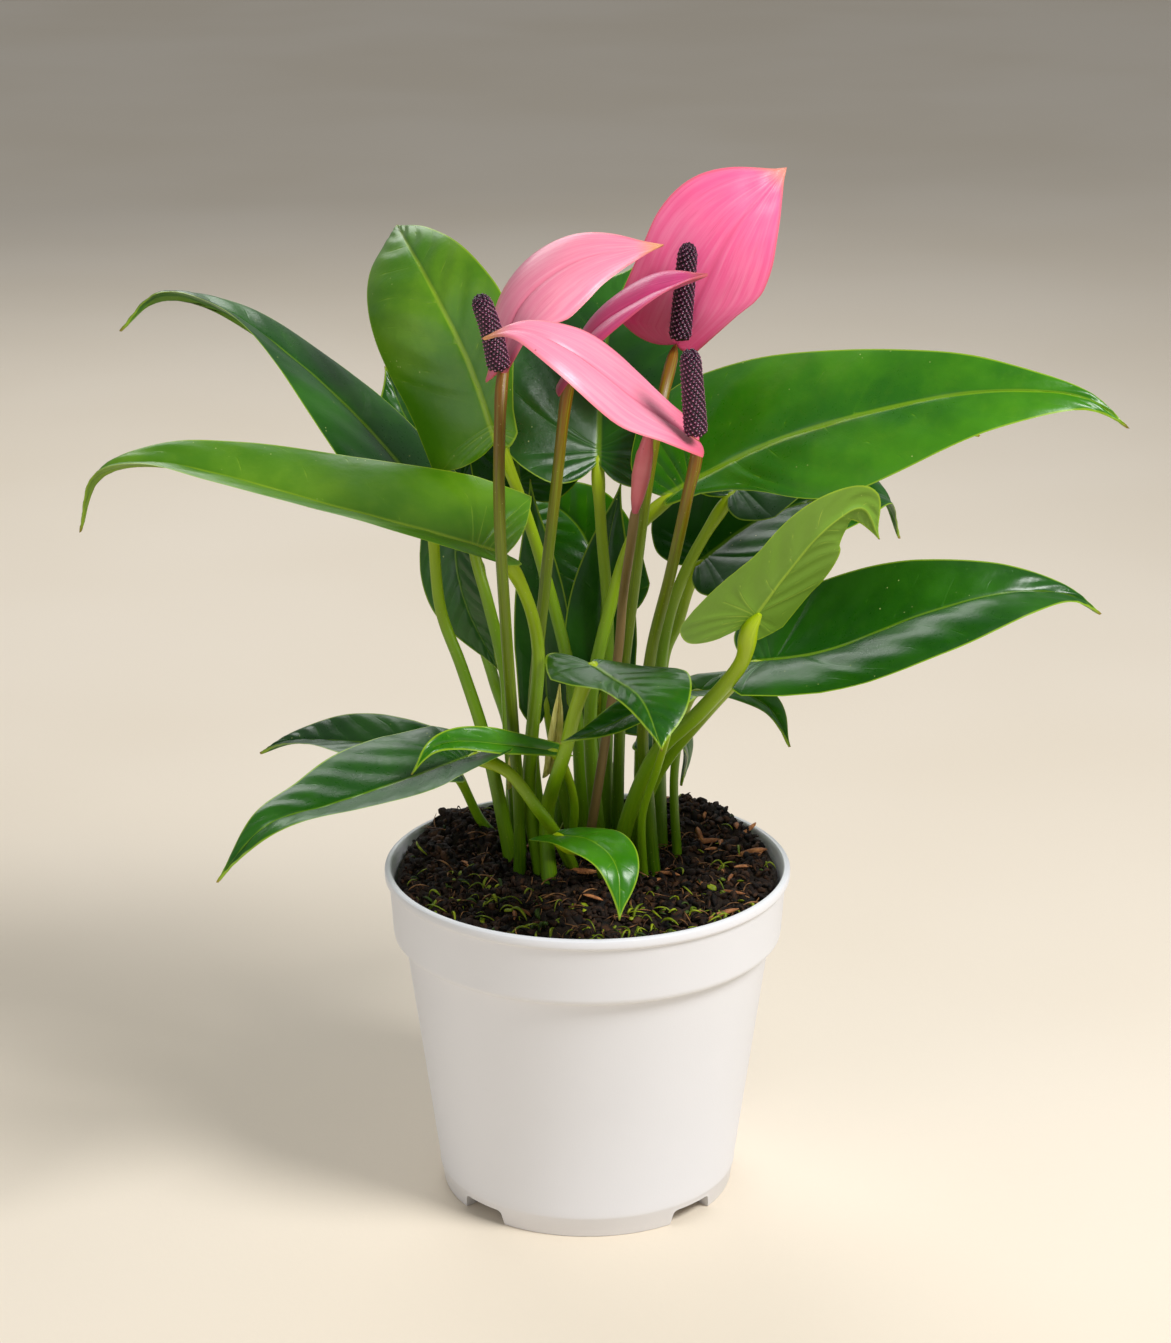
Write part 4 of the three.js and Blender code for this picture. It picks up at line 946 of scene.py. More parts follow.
def spadix_tree(body_look, dot_look):
    """A spadix on an axis of edges: a tapered core with florets wound round it in a spiral"""
    tree, nodes, start, finish = new_tree("Spadix", (
        ("Radius", "NodeSocketFloat", 0.003), ("Florets", "NodeSocketInt", 300),
        ("Floret", "NodeSocketFloat", 0.0006)))
    radius, count, size = (nodes.wire(start, key) for key in ("Radius", "Florets", "Floret"))

    def width(share):
        cap = (share - 0.86).most(0) / 0.14
        base = (0.06 - share).most(0) / 0.06
        round_top = (1 - cap * cap).most(0.01) ** 0.5
        return (1 - share * 0.14) * round_top * (1 - base * base * 0.3)

    axis = nodes.put("GeometryNodeMeshToCurve", None, {"Mesh": start.outputs["Geometry"]})
    axis = nodes.put("GeometryNodeResampleCurve", None, {"Curve": axis.outputs[0], "Count": 40})
    factor = nodes.wire(nodes.add("GeometryNodeSplineParameter"), "Factor")
    ring = nodes.put("GeometryNodeCurvePrimitiveCircle", None, {"Resolution": 22, "Radius": 1.0})
    core = nodes.put("GeometryNodeCurveToMesh", None,
                     {"Curve": axis.outputs[0], "Profile Curve": ring.outputs[0],
                      "Scale": width(factor) * radius * 0.96, "Fill Caps": True})
    core = nodes.put("GeometryNodeSetShadeSmooth", None, {"Geometry": core.outputs[0]})
    core = nodes.put("GeometryNodeSetMaterial", None,
                     {"Geometry": core.outputs[0], "Material": body_look})

    index = nodes.wire(nodes.add("GeometryNodeInputIndex"))
    share = ((index + 0.5) / count) * 0.965 + 0.02
    points = nodes.put("GeometryNodePoints", None, {"Count": start.outputs["Florets"]})
    spot = nodes.put("GeometryNodeSampleCurve", {"mode": "FACTOR"},
                     {"Curves": axis.outputs[0], "Factor": share})
    turn = index * 2.399963

    def vector(operation, first, second=None, scale=None):
        values = {0: first}
        if second is not None:
            values[1] = second
        if scale is not None:
            values["Scale"] = scale
        return nodes.put("ShaderNodeVectorMath", {"operation": operation}, values).outputs[0]

    tangent, normal = spot.outputs["Tangent"], spot.outputs["Normal"]
    outward = vector("ADD", vector("SCALE", normal, scale=turn.math("COSINE", turn)),
                     vector("SCALE", vector("CROSS_PRODUCT", tangent, normal),
                            scale=turn.math("SINE", turn)))
    where = vector("ADD", spot.outputs["Position"],
                   vector("SCALE", outward, scale=width(share) * radius * 0.95))
    points = nodes.put("GeometryNodeSetPosition", None,
                       {"Geometry": points.outputs[0], "Position": where})
    aim = nodes.put("FunctionNodeAlignRotationToVector", {"axis": "Z"}, {"Vector": outward})
    aim = nodes.put("FunctionNodeAlignRotationToVector", {"axis": "X", "pivot_axis": "Z"},
                    {"Rotation": aim.outputs[0], "Vector": tangent})
    bead = nodes.put("GeometryNodeMeshIcoSphere", None, {"Radius": 1.0, "Subdivisions": 1})
    bead = nodes.put("GeometryNodeTransform", None,
                     {"Geometry": bead.outputs[0], "Scale": (1.0, 0.86, 0.62)})
    bead = nodes.put("GeometryNodeSetMaterial", None,
                     {"Geometry": bead.outputs[0], "Material": body_look})
    dot = nodes.put("GeometryNodeMeshIcoSphere", None, {"Radius": 0.27, "Subdivisions": 1})
    dot = nodes.put("GeometryNodeTransform", None,
                    {"Geometry": dot.outputs[0], "Translation": (0, 0, 0.52),
                     "Scale": (1.0, 1.0, 0.6)})
    dot = nodes.put("GeometryNodeSetMaterial", None,
                    {"Geometry": dot.outputs[0], "Material": dot_look})
    floret = nodes.add("GeometryNodeJoinGeometry")
    for part in (bead, dot):
        tree.links.new(part.outputs[0], floret.inputs[0])
    grown = (0.55 + width(share) * 0.45) * size
    florets = nodes.put("GeometryNodeInstanceOnPoints", None,
                        {"Points": points.outputs[0], "Instance": floret.outputs[0],
                         "Rotation": aim.outputs[0], "Scale": grown})
    florets = nodes.put("GeometryNodeRealizeInstances", None, {"Geometry": florets.outputs[0]})
    florets = nodes.put("GeometryNodeSetShadeSmooth", None, {"Geometry": florets.outputs[0]})
    joined = nodes.add("GeometryNodeJoinGeometry")
    for part in (core, florets):
        tree.links.new(part.outputs[0], joined.inputs[0])
    tree.links.new(joined.outputs[0], finish.inputs[0])
    return tree


def litter_tree(name, shapes, looks, lean, seed, tall):
    """Scatters shapes over the ground where the `grow` attribute lets them, at random turns"""
    tree, nodes, start, finish = new_tree(name, (
        ("Density", "NodeSocketFloat", 1000.0), ("Smallest", "NodeSocketFloat", 0.5),
        ("Largest", "NodeSocketFloat", 1.0)))
    grow = nodes.put("GeometryNodeInputNamedAttribute", {"data_type": "FLOAT"}, {"Name": name})
    density = nodes.wire(grow, "Attribute") * nodes.wire(start, "Density")
    points = nodes.put("GeometryNodeDistributePointsOnFaces", None,
                       {"Mesh": start.outputs["Geometry"], "Density": density, "Seed": seed})
    turn = nodes.put("FunctionNodeRandomValue", {"data_type": "FLOAT_VECTOR"},
                     {"Min": (-lean, -lean, 0), "Max": (lean, lean, 6.283), "Seed": seed + 1})
    size = nodes.put("FunctionNodeRandomValue", {"data_type": "FLOAT"},
                     {"Min": start.outputs["Smallest"], "Max": start.outputs["Largest"],
                      "Seed": seed + 2})
    which = nodes.put("FunctionNodeRandomValue", {"data_type": "INT"},
                      {"Min": 0, "Max": len(shapes) - 1, "Seed": seed + 3})
    bag = nodes.add("GeometryNodeGeometryToInstance")
    for shape, look in reversed(list(zip(shapes, looks))):
        made = nodes.put("GeometryNodeSetMaterial", None,
                         {"Geometry": shape(nodes), "Material": look})
        tree.links.new(made.outputs[0], bag.inputs[0])
    spread = nodes.put("GeometryNodeInstanceOnPoints", None,
                       {"Points": points.outputs["Points"], "Instance": bag.outputs[0],
                        "Pick Instance": True,
                        "Instance Index": find_socket(which.outputs, "Value"),
                        "Rotation": find_socket(turn.outputs, "Value"),
                        "Scale": find_socket(size.outputs, "Value")})
    spread = nodes.put("GeometryNodeTranslateInstances", None,
                       {"Instances": spread.outputs[0], "Translation": (0, 0, tall),
                        "Local Space": False})
    spread = nodes.put("GeometryNodeRealizeInstances", None, {"Geometry": spread.outputs[0]})
    spread = nodes.put("GeometryNodeSetShadeSmooth", None, {"Geometry": spread.outputs[0]})
    tree.links.new(spread.outputs[0], finish.inputs[0])
    return tree


def lump(scale, turn):
    """A rough crumb, as a shape for a litter tree"""
    def build(nodes):
        ball = nodes.put("GeometryNodeMeshIcoSphere", None, {"Radius": 0.001, "Subdivisions": 2})
        spot = nodes.add("GeometryNodeInputPosition").outputs[0]
        push = nodes.put("ShaderNodeTexNoise", {"noise_dimensions": "4D"},
                         {"Vector": spot, "W": turn, "Scale": 900.0, "Detail": 2.0})
        shift = nodes.put("ShaderNodeVectorMath", {"operation": "SUBTRACT"},
                          {0: push.outputs["Color"], 1: (0.5, 0.5, 0.5)})
        shift = nodes.put("ShaderNodeVectorMath", {"operation": "SCALE"},
                          {0: shift.outputs[0], "Scale": 0.0016})
        ball = nodes.put("GeometryNodeSetPosition", None,
                         {"Geometry": ball.outputs[0], "Offset": shift.outputs[0]})
        return nodes.put("GeometryNodeTransform", None,
                         {"Geometry": ball.outputs[0], "Scale": scale}).outputs[0]
    return build


def strand(reach, rise, bow, width, flat=1.0, steps=6):
    """A bent strand that thins towards its ends, as a shape for a litter tree"""
    def build(nodes):
        line = nodes.put("GeometryNodeCurveQuadraticBezier", None,
                         {"Resolution": steps, "Start": (-reach / 2, 0, 0),
                          "Middle": (0, bow, rise * 2), "End": (reach / 2, 0, rise * 0.4)})
        factor = nodes.wire(nodes.add("GeometryNodeSplineParameter"), "Factor")
        thin = (factor * (1 - factor) * 4).most(0.05) ** 0.5 * width
        ring = nodes.put("GeometryNodeCurvePrimitiveCircle", None,
                         {"Resolution": 4, "Radius": 1.0})
        ring = nodes.put("GeometryNodeTransform", None,
                         {"Geometry": ring.outputs[0], "Scale": (1.0, flat, 1.0)})
        return nodes.put("GeometryNodeCurveToMesh", None,
                         {"Curve": line.outputs[0], "Profile Curve": ring.outputs[0],
                          "Scale": thin, "Fill Caps": True}).outputs[0]
    return build


# ---------------------------------------------------------------- operators


class ANTHURIUM_OT_stage(bpy.types.Operator):
    """Set up the camera, the soft studio light and the pale floor"""

    bl_idname = "anthurium.stage"
    bl_label = "Stage"

    def execute(self, context):
        scene = context.scene
        lens = bpy.data.cameras.new("camera")
        lens.lens, lens.sensor_width, lens.clip_start = 90, 36, 0.05
        camera = bpy.data.objects.new("camera", lens)
        camera.location = (-0.00056, -0.92536, 0.46912)
        camera.rotation_euler = (math.radians(90 - 18.45), 0, 0)
        scene.collection.objects.link(camera)
        scene.camera = camera
        scene.view_settings.view_transform = "Standard"
        for name, place, aim, size, power in (
            ("key", (0.62, -0.45, 0.95), (0, 0, 0.16), 0.42, 12.0),
            ("fill", (-0.85, -0.75, 0.55), (0, 0, 0.15), 1.0, 2.4),
            ("rear", (-0.25, 0.95, 0.9), (0, 0, 0.2), 0.8, 4.5),
        ):
            light = bpy.data.lights.new(name, "AREA")
            light.shape, light.size, light.energy = "DISK", size, power
            lamp = bpy.data.objects.new(name, light)
            lamp.location = place
            direction = np.array(aim, float) - np.array(place, float)
            flat = math.hypot(direction[0], direction[1])
            lamp.rotation_euler = (math.atan2(flat, -direction[2]), 0,
                                   math.atan2(-direction[0], direction[1]))
            scene.collection.objects.link(lamp)
        world = bpy.data.worlds.new("studio")
        world.use_nodes = True
        sky = next(n for n in world.node_tree.nodes if n.type == "BACKGROUND")
        sky.inputs["Color"].default_value = (0.82, 0.84, 0.86, 1)
        sky.inputs["Strength"].default_value = 0.36
        scene.world = world
        material, nodes = new_finish("floor_paper")
        place = nodes.place()
        grain = nodes.noise(place, 700, 3)
        color = nodes.blend(nodes.noise(place, 3, 2).ramp(0.3, 0.7), paint(238, 226, 208),
                            paint(233, 220, 200))
        nodes.surface(Base_Color=color, Roughness=0.72 + grain * 0.1, Specular_IOR_Level=0.2,
                      Normal=nodes.bumped(grain, 0.0002, 0.3))
        turn = 2 * np.pi * np.arange(96) / 96
        ring = np.stack([5500 * np.cos(turn), 5500 * np.sin(turn), np.zeros(96)], 1)
        floor = new_piece("floor", ring, [tuple(range(96))], material, smooth=False)
        return {"FINISHED"}


class ANTHURIUM_OT_pot(bpy.types.Operator):
    """Make the white nursery pot with its rolled rim, collar, foot notches and drain holes"""

    bl_idname = "anthurium.pot"
    bl_label = "Pot"

    def execute(self, context):
        settings = context.scene.anthurium_pot
        height, rim, foot = (v / MM for v in (settings.height, settings.rim, settings.foot))
        step = height - settings.collar / MM
        collar, body, wall, floor, lip = rim - 2.4, rim - 5.6, 1.3, 6, 3.2
        slope = (body - foot) / step

        def body_at(z):
            return foot + slope * z

        profile = [
            (0, floor), (foot - 5, floor - 0.4), (foot - 4, floor - 1.2), (foot - 4, 0.6),
            (foot - 3.85, 0.15), (foot - 3.5, 0), (foot - 0.7, 0), (foot - 0.2, 0.15), (foot, 0.7),
            (body_at(5.6), 5.6), (body_at(6) + 0.12, 5.9), (body_at(6.8) + 0.22, 6.8),
            (body_at(7.6) + 0.05, 7.6), (body_at(step * 0.5), step * 0.5),
            (body_at(step - 2.2), step - 2.2), (body_at(step - 1.2) + 0.15, step - 1.2),
            (body + 0.9, step - 0.6), (collar - 1.5, step - 0.25), (collar - 0.7, step + 0.1),
            (collar - 0.2, step + 0.7), (collar, step + 1.8),
            (rim - 1.35, height - lip - 0.9), (rim - 1.2, height - lip - 0.4),
            (rim - 0.5, height - lip), (rim - 0.1, height - lip + 0.5), (rim, height - lip + 1),
            (rim, height - 1), (rim - 0.15, height - 0.5), (rim - 0.5, height - 0.2),
            (rim - 0.9, height - 0.05), (rim - 1.3, height), (rim - 1.7, height - 0.1),
            (rim - 2.05, height - 0.5), (rim - 2.2, height - 1.2),
            (collar - wall, step + 2), (collar - wall - 0.8, step + 0.4),
            (body - wall + 0.2, step - 0.6), (body - wall, step - 1.5),
            (body_at(floor + wall + 1) - wall, floor + wall + 1.2),
            (body_at(floor + wall) - wall - 1, floor + wall), (0, floor + wall),
        ]
        spokes = 168
        turn = 2 * np.pi * np.arange(spokes) / spokes
        rings = np.array([[(r * math.cos(a), r * math.sin(a), z) for a in turn]
                          for r, z in profile[1:-1]])
        vertices = np.concatenate([rings.reshape(-1, 3), [(0, 0, floor), (0, 0, floor + wall)]])
        ring = np.arange(rings.shape[0] * spokes).reshape(-1, spokes)
        faces = []
        for k in range(spokes):
            m = (k + 1) % spokes
            faces += list(zip(ring[:-1, k], ring[:-1, m], ring[1:, m], ring[1:, k]))
            faces += [(ring[0, m], ring[0, k], len(vertices) - 2),
                      (ring[-1, k], ring[-1, m], len(vertices) - 1)]
        pot = new_piece("nursery_pot", vertices, faces, None, sharp=32)
        tools, tool_faces = [], []

        def cutter(outline, axis_from, axis_to, turned):
            base = len(tools)
            cos, sin = math.cos(turned), math.sin(turned)
            for reach in (axis_from, axis_to):
                for point in outline:
                    x, y, z = point(reach)
                    tools.append((x * cos - y * sin, x * sin + y * cos, z))
            n = len(outline)
            tool_faces.append(tuple(base + k for k in range(n))[::-1])
            tool_faces.append(tuple(base + n + k for k in range(n)))
            tool_faces.extend((base + k, base + (k + 1) % n, base + n + (k + 1) % n, base + n + k)
                              for k in range(n))

        arch = [(-8.7, -2), (8.7, -2), (7.6, 3.0), (7.3, 3.9), (6.7, 4.4), (6.0, 4.6),
                (-6.0, 4.6), (-6.7, 4.4), (-7.3, 3.9), (-7.6, 3.0)]
        for k in range(4):
            cutter([lambda reach, x=x, z=z: (x, reach, z) for x, z in arch],
                   foot + 5, foot - 9, math.pi / 4 + k * math.pi / 2)
        circle = [(3.2 * math.cos(a), 3.2 * math.sin(a)) for a in 2 * np.pi * np.arange(24) / 24]
        for k in range(6):
            cutter([lambda z, x=x, y=y: (x, 27 + y, z) for x, y in circle],
                   0, 12, k * math.pi / 3)
        tool = new_piece("pot_cutter", tools, tool_faces, None, smooth=False)
        cut = pot.modifiers.new("cut", "BOOLEAN")
        cut.object, cut.operation, cut.solver = tool, "DIFFERENCE", "EXACT"
        settle(pot)
        bpy.data.objects.remove(tool)
        pot.data.shade_smooth()
        pot.data.set_sharp_from_angle(angle=math.radians(32))
        pot.data.materials.clear()
        pot.data.materials.append(pot_finish())
        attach(pot, BODY)
        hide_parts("pot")
        return {"FINISHED"}


def rough_field(x, y, scale, seed):
    """Smooth random heights between -1 and 1 over the ground"""
    draw = np.random.default_rng(seed)
    grid = draw.uniform(-1, 1, (64, 64))
    u, v = (x / scale) % 63, (y / scale) % 63
    i, j = np.floor(u).astype(int), np.floor(v).astype(int)
    a, b = (w * w * (3 - 2 * w) for w in (u - i, v - j))
    i2, j2 = (i + 1) % 64, (j + 1) % 64
    return ((grid[i, j] * (1 - a) + grid[i2, j] * a) * (1 - b)
            + (grid[i, j2] * (1 - a) + grid[i2, j2] * a) * b)


class ANTHURIUM_OT_mix(bpy.types.Operator):
    """Fill the pot with damp peat, bark, fibres and strands of moss"""

    bl_idname = "anthurium.mix"
    bl_label = "Potting mix"

    def execute(self, context):
        settings = context.scene.anthurium_mix
        peat = plain_finish("peat_ground", tuple(1.9 * v for v in settings.color),
                            tuple(0.45 * v for v in settings.color), 260, 0.9, 0.0008, 0.25)
        rings, spokes, outer = 88, 210, MIX_RADIUS
        radius = outer * (np.arange(1, rings + 1) / rings) ** 0.85
        turn = 2 * np.pi * np.arange(spokes) / spokes
        x, y = radius[:, None] * np.cos(turn), radius[:, None] * np.sin(turn)
        calm = np.clip((outer - radius) / 2.0, 0, 1)[:, None]
        bumps = (2.0 * rough_field(x + 90, y + 90, 6.0, 3)
                 + 1.2 * rough_field(x + 90, y + 90, 2.4, 4)
                 + 0.4 * rough_field(x + 90, y + 90, 1.1, 5))
        top = mix_top(x, y) + bumps * (0.35 + 0.65 * calm)
        ground = np.stack([x, y, top], -1)
        walls = [(outer - 0.2, 86), (55.4, 82.5), (52.6, 78), (44.4, 12), (42, 8.2)]
        skirt = np.array([[(r * math.cos(a), r * math.sin(a), z) for a in turn] for r, z in walls])
        loops = np.concatenate([ground, skirt])
        vertices = np.concatenate([loops.reshape(-1, 3),
                                   [(0, 0, float(mix_top(0, 0))), (0, 0, 8.2)]])
        ring = np.arange(loops.shape[0] * spokes).reshape(-1, spokes)
        faces = []
        for k in range(spokes):
            m = (k + 1) % spokes
            faces += list(zip(ring[:-1, k], ring[1:, k], ring[1:, m], ring[:-1, m]))
            faces += [(ring[0, k], ring[0, m], len(vertices) - 2),
                      (ring[-1, m], ring[-1, k], len(vertices) - 1)]
        count = len(vertices)
        flat = np.zeros(count, bool)
        flat[: rings * spokes] = True
        flat[: rings * spokes] &= np.repeat(radius < outer - 1.2, spokes)
        px, py = vertices[:, 0], vertices[:, 1]

        def patch(cx, cy, spread):
            return np.exp(-((px - cx) ** 2 + (py - cy) ** 2) / (2 * spread**2))

        moss = (patch(32, -34, 13) + 0.9 * patch(-38, -14, 10) + 0.5 * patch(-14, -42, 12)
                + 0.5 * patch(6, -44, 12) + 0.5 * patch(47, 10, 9) + 0.08)
        grow = {"crumbs": flat * 1.0, "fibres": flat * (0.6 + 0.5 * patch(25, -5, 25)),
                "bark": flat * (0.5 + patch(28, 0, 18)), "moss": flat * moss}
        looks = {
            "crumb": plain_finish("peat_crumb", paint(78, 51, 31), paint(12, 8, 5),
                                  420, 0.88, 0.0004),
            "dark": plain_finish("peat_dark", paint(46, 30, 19), paint(6, 4, 3), 420, 0.9, 0.0004),
            "fibre": plain_finish("peat_fibre", paint(166, 118, 72), paint(62, 38, 20), 240, 0.7),
            "bark": plain_finish("bark_chip", paint(200, 134, 84), paint(122, 74, 42), 260, 0.7),
            "moss": plain_finish("moss_green", paint(156, 168, 28), paint(84, 104, 12), 320, 0.6),
            "moss_dark": plain_finish("moss_dark", paint(70, 92, 24), paint(34, 50, 14), 320, 0.7),
        }
        kinds = (
            ("crumbs", (lump((1.5, 1.1, 0.8), 1.0), lump((0.9, 1.4, 1.0), 4.0),
                        lump((0.8, 0.7, 0.7), 7.0), lump((1.9, 0.8, 0.6), 9.0)),
             ("dark", "crumb", "crumb", "dark"), 0.9, 11, 0.0003, settings.crumbs, 0.4, 1.4),
            ("fibres", (strand(0.006, 0.0012, 0.0012, 0.00022),
                        strand(0.004, 0.001, -0.001, 0.0003),
                        strand(0.008, 0.0006, 0.002, 0.00016), strand(0.003, 0.002, 0.0, 0.0004)),
             ("fibre", "crumb", "fibre", "crumb"), 0.55, 31, 0.0008, settings.fibres, 0.5, 1.3),
            ("bark", (strand(0.006, 0.0004, 0.0006, 0.0009, 0.6),
                      strand(0.009, 0.0003, 0.001, 0.0011, 0.7),
                      lump((3.2, 1.8, 0.8), 13.0)),
             ("bark", "bark", "crumb"), 0.35, 51, 0.0012, 6500.0, 0.5, 1.3),
            ("moss", (strand(0.006, 0.0016, 0.0016, 0.00036, 0.5),
                      strand(0.004, 0.002, -0.001, 0.0004, 0.5),
                      lump((1.3, 0.8, 0.35), 21.0), strand(0.003, 0.001, 0.0008, 0.0006, 0.5)),
             ("moss", "moss", "moss", "moss_dark"), 0.6, 71, 0.0010, settings.moss, 0.5, 1.35),
        )
        for name, shapes, names, lean, seed, tall, density, small, large in kinds:
            tree = litter_tree(name, shapes, [looks[n] for n in names], lean, seed, tall)
            piece = new_piece(f"mix_{name}", vertices, faces, None, grow, smooth=False)
            run_tree(piece, tree, Density=density, Smallest=small, Largest=large)
            if not piece.data.vertices:
                raise RuntimeError(f"no {name} were scattered")
            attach(piece, BODY)
        ground = new_piece("mix_ground", vertices, faces, peat, sharp=80)
        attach(ground, BODY)
        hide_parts("potting_mix")
        return {"FINISHED"}


# The finish's name, its upper, deep, vein and underside colours, roughness and vein strength
LEAF_TONES = {
    "light": ("leaf_light", (102, 148, 24), (72, 124, 8), (146, 178, 50), (126, 156, 56),
              0.26, 0.38),
    "mid": ("leaf_mid", (66, 130, 0), (40, 102, 0), (112, 160, 26), (104, 144, 44), 0.23, 0.36),
    "dark": ("leaf_dark", (42, 98, 6), (22, 72, 2), (72, 124, 26), (66, 110, 34), 0.23, 0.22),
    "pale": ("leaf_pale", (104, 146, 30), (70, 116, 12), (148, 176, 60), (108, 144, 44), 0.36, 0.4),
}


class ANTHURIUM_OT_leaves(bpy.types.Operator):
    """Grow the leaf blades, each quilted between its side veins"""

    bl_idname = "anthurium.leaves"
    bl_label = "Leaves"

    def execute(self, context):
        settings = context.scene.anthurium_leaf
        finishes = {}
        for tone, (slot, upper, deep, vein, under, gloss, lines) in LEAF_TONES.items():
            colors = (paint(*c) for c in (upper, deep, vein, under))
            finishes[tone] = leaf_finish(slot, *colors, gloss, lines)
        for name, leaf in LEAVES.items():
            small = max(leaf["half"]) < 12
            scale = 0.5 if small else 1.0
            blade = blade_piece(
                f"{name}_lamina", leaf, LEAF_OUTLINE, finishes[leaf["tone"]],
                settings.thickness / MM, 9 if small else settings.veins, 10 if small else 14,
                settings.quilting / MM * scale, settings.ripple / MM * scale)
            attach(blade, BODY)
            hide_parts(name if leaf.get("joined") else f"{name}_blade")
        return {"FINISHED"}


class ANTHURIUM_OT_stalks(bpy.types.Operator):
    """Grow the stalks of the leaves and the flowers"""

    bl_idname = "anthurium.stalks"
    bl_label = "Stalks"

    def execute(self, context):
        green = stalk_finish("leaf_stalk", paint(90, 130, 6), paint(112, 154, 6),
                             paint(164, 188, 8), paint(122, 100, 20), 0.12, 0.5)
        olive = stalk_finish("flower_stalk", paint(70, 110, 4), paint(96, 116, 4),
                             paint(122, 76, 14), paint(118, 78, 20), 0.14, 0.62)
        for name, leaf in LEAVES.items():
            joined = bool(leaf.get("joined"))
            stalk = stalk_piece(f"{name}_petiole", leaf, green, 0.0 if joined else 0.26, joined)
            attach(stalk, BODY)
            if not joined:
                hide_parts(f"{name}_stalk")
        for name, flower in FLOWERS.items():
            stalk = stalk_piece(f"{name}_peduncle", flower, olive, 0.12)
            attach(stalk, BODY)
            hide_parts(f"{name}_stalk")
        return {"FINISHED"}


class ANTHURIUM_OT_flowers(bpy.types.Operator):
    """Make the pink spathes and their dark spadices"""

    bl_idname = "anthurium.flowers"
    bl_label = "Flowers"

    def execute(self, context):
        settings = context.scene.anthurium_flower
        pink, rose = tuple(settings.pink), tuple(settings.rose)
        finishes = {
            "flower_1": spathe_finish("spathe_deep", pink, paint(206, 36, 96),
                                      paint(248, 150, 180), paint(240, 120, 160),
                                      paint(226, 150, 120)),
            "pink": spathe_finish("spathe_pink", tuple(settings.blush), paint(212, 54, 98),
                                  paint(252, 180, 192), paint(246, 150, 168),
                                  paint(220, 160, 90)),
            "rose": spathe_finish("spathe_rose", rose, paint(120, 12, 54), paint(236, 108, 156),
                                  paint(238, 104, 152), paint(196, 96, 96)),
        }
        core = plain_finish("spadix_floret", paint(70, 22, 52), paint(34, 8, 28),
                            900, 0.42, 0.0001, 0.5)
        dots = plain_finish("spadix_dot", paint(206, 140, 170), paint(150, 84, 116),
                            900, 0.5, 0.0001)
        tree = spadix_tree(core, dots)
        for name, flower in FLOWERS.items():
            finish = finishes.get(name) or finishes[flower["tone"]]
            spathe = blade_piece(f"{name}_bract", flower, SPATHE_OUTLINE, finish,
                                 settings.thickness / MM, 9, 16, 0.06, 0.15)
            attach(spathe, BODY)
            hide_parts(f"{name}_spathe")
            radius = flower["spadixRadius"]
            axis = smooth_path(flower["spadix"], 12)
            spadix = new_piece(f"{name}_spike", axis, [], None, smooth=False)
            spadix.data.edges.add(len(axis) - 1)
            links = np.stack([np.arange(len(axis) - 1), np.arange(1, len(axis))], 1)
            spadix.data.edges.foreach_set("vertices", links.ravel().astype("i"))
            grown = radius / 3.1
            run_tree(spadix, tree, Radius=radius * 0.93 * MM,
                     Florets=int(settings.florets * grown), Floret=0.00095 * grown**0.5)
            if not spadix.data.polygons:
                raise RuntimeError(f"{name} has no spadix")
            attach(spadix, BODY)
            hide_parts(f"{name}_spadix")
        return {"FINISHED"}


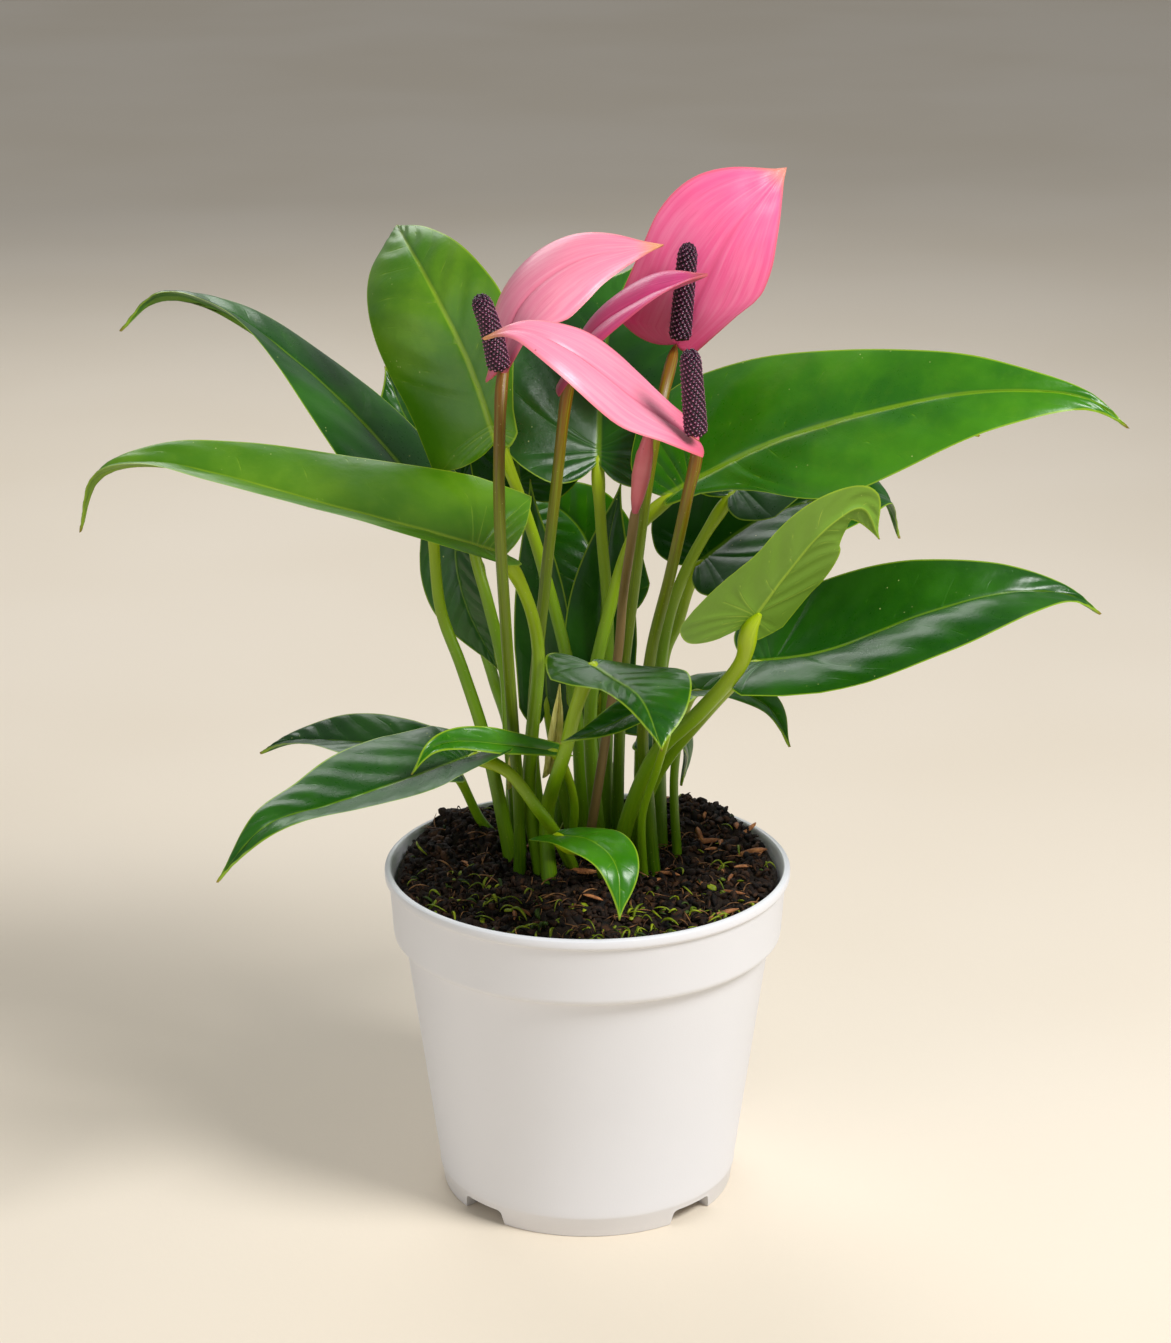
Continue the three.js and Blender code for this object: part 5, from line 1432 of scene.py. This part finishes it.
class ANTHURIUM_OT_bud(bpy.types.Operator):
    """Make the flower that is still rolled up, and its stalk"""

    bl_idname = "anthurium.bud"
    bl_label = "Bud"

    def execute(self, context):
        finish = spathe_finish("bud_spathe", paint(206, 104, 112), paint(150, 52, 74),
                               paint(222, 140, 140), paint(206, 104, 112), paint(210, 130, 100))
        rail = Rail(BUD["spine"], (0.3, -0.8, 0.2), 0)
        shares = np.linspace(0, 1, 40)
        radius = np.interp(shares, (0, 0.04, 0.15, 0.4, 0.65, 0.85, 0.97, 1),
                           (0.9, 1.2, 1.9, 2.75, 2.45, 1.3, 0.5, 0.25))

        def wrap(share, turn):
            return 0.9 + 0.1 * ((turn / (2 * np.pi) + 0.7 * share) % 1)

        bud = turned_piece("bud_bract", rail, shares, radius, 36, finish, wrap)
        count = len(bud.data.vertices)
        for key, level in (("share", 0.5), ("edge", 5.0), ("under", 0.0)):
            bud.data.attributes.new(key, "FLOAT", "POINT").data.foreach_set(
                "value", np.full(count, level, "f"))
        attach(bud, BODY)
        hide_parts("bud_spathe")
        foot = dict(BUD, face=(0, -1, 0.2))
        stalk = stalk_piece("bud_peduncle", foot, bpy.data.materials["flower_stalk"], 0.05)
        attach(stalk, BODY)
        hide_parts("bud_stalk")
        return {"FINISHED"}


class ANTHURIUM_OT_sheaths(bpy.types.Operator):
    """Make the papery sheaths between the stalks"""

    bl_idname = "anthurium.sheaths"
    bl_label = "Sheaths"

    def execute(self, context):
        finish = sheath_finish()
        for name, sheath in SHEATHS.items():
            piece = blade_piece(f"{name}_paper", sheath, LEAF_OUTLINE, finish,
                                0.35, 7, 8, 0.15, 0.3)
            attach(piece, BODY)
            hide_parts(name)
        return {"FINISHED"}


class ANTHURIUM_PT_plant(bpy.types.Panel):
    """The settings and the steps that make the plant"""

    bl_idname = "ANTHURIUM_PT_plant"
    bl_label = "Potted flamingo flower"
    bl_space_type = "VIEW_3D"
    bl_region_type = "UI"
    bl_category = "Plant"

    def draw(self, context):
        for settings in ("pot", "mix", "leaf", "flower"):
            group = getattr(context.scene, f"anthurium_{settings}")
            box = self.layout.box()
            for key in group.__annotations__:
                box.prop(group, key)
        for step in STEPS:
            self.layout.operator(step.bl_idname)


STEPS = (
    ANTHURIUM_OT_stage, ANTHURIUM_OT_pot, ANTHURIUM_OT_mix, ANTHURIUM_OT_leaves,
    ANTHURIUM_OT_stalks, ANTHURIUM_OT_flowers, ANTHURIUM_OT_bud, ANTHURIUM_OT_sheaths,
)
GROUPS = (PotSettings, MixSettings, LeafSettings, FlowerSettings)
PLACES = ("anthurium_pot", "anthurium_mix", "anthurium_leaf", "anthurium_flower")


def register():
    for group, place in zip(GROUPS, PLACES):
        bpy.utils.register_class(group)
        setattr(bpy.types.Scene, place, PointerProperty(type=group))
    for step in (*STEPS, ANTHURIUM_PT_plant):
        bpy.utils.register_class(step)


def unregister():
    for step in (ANTHURIUM_PT_plant, *reversed(STEPS)):
        bpy.utils.unregister_class(step)
    for group, place in zip(GROUPS, PLACES):
        delattr(bpy.types.Scene, place)
        bpy.utils.unregister_class(group)


def main():
    register()
    for step in STEPS:
        group, action = step.bl_idname.split(".")
        getattr(getattr(bpy.ops, group), action)()


if __name__ == "__main__":
    main()
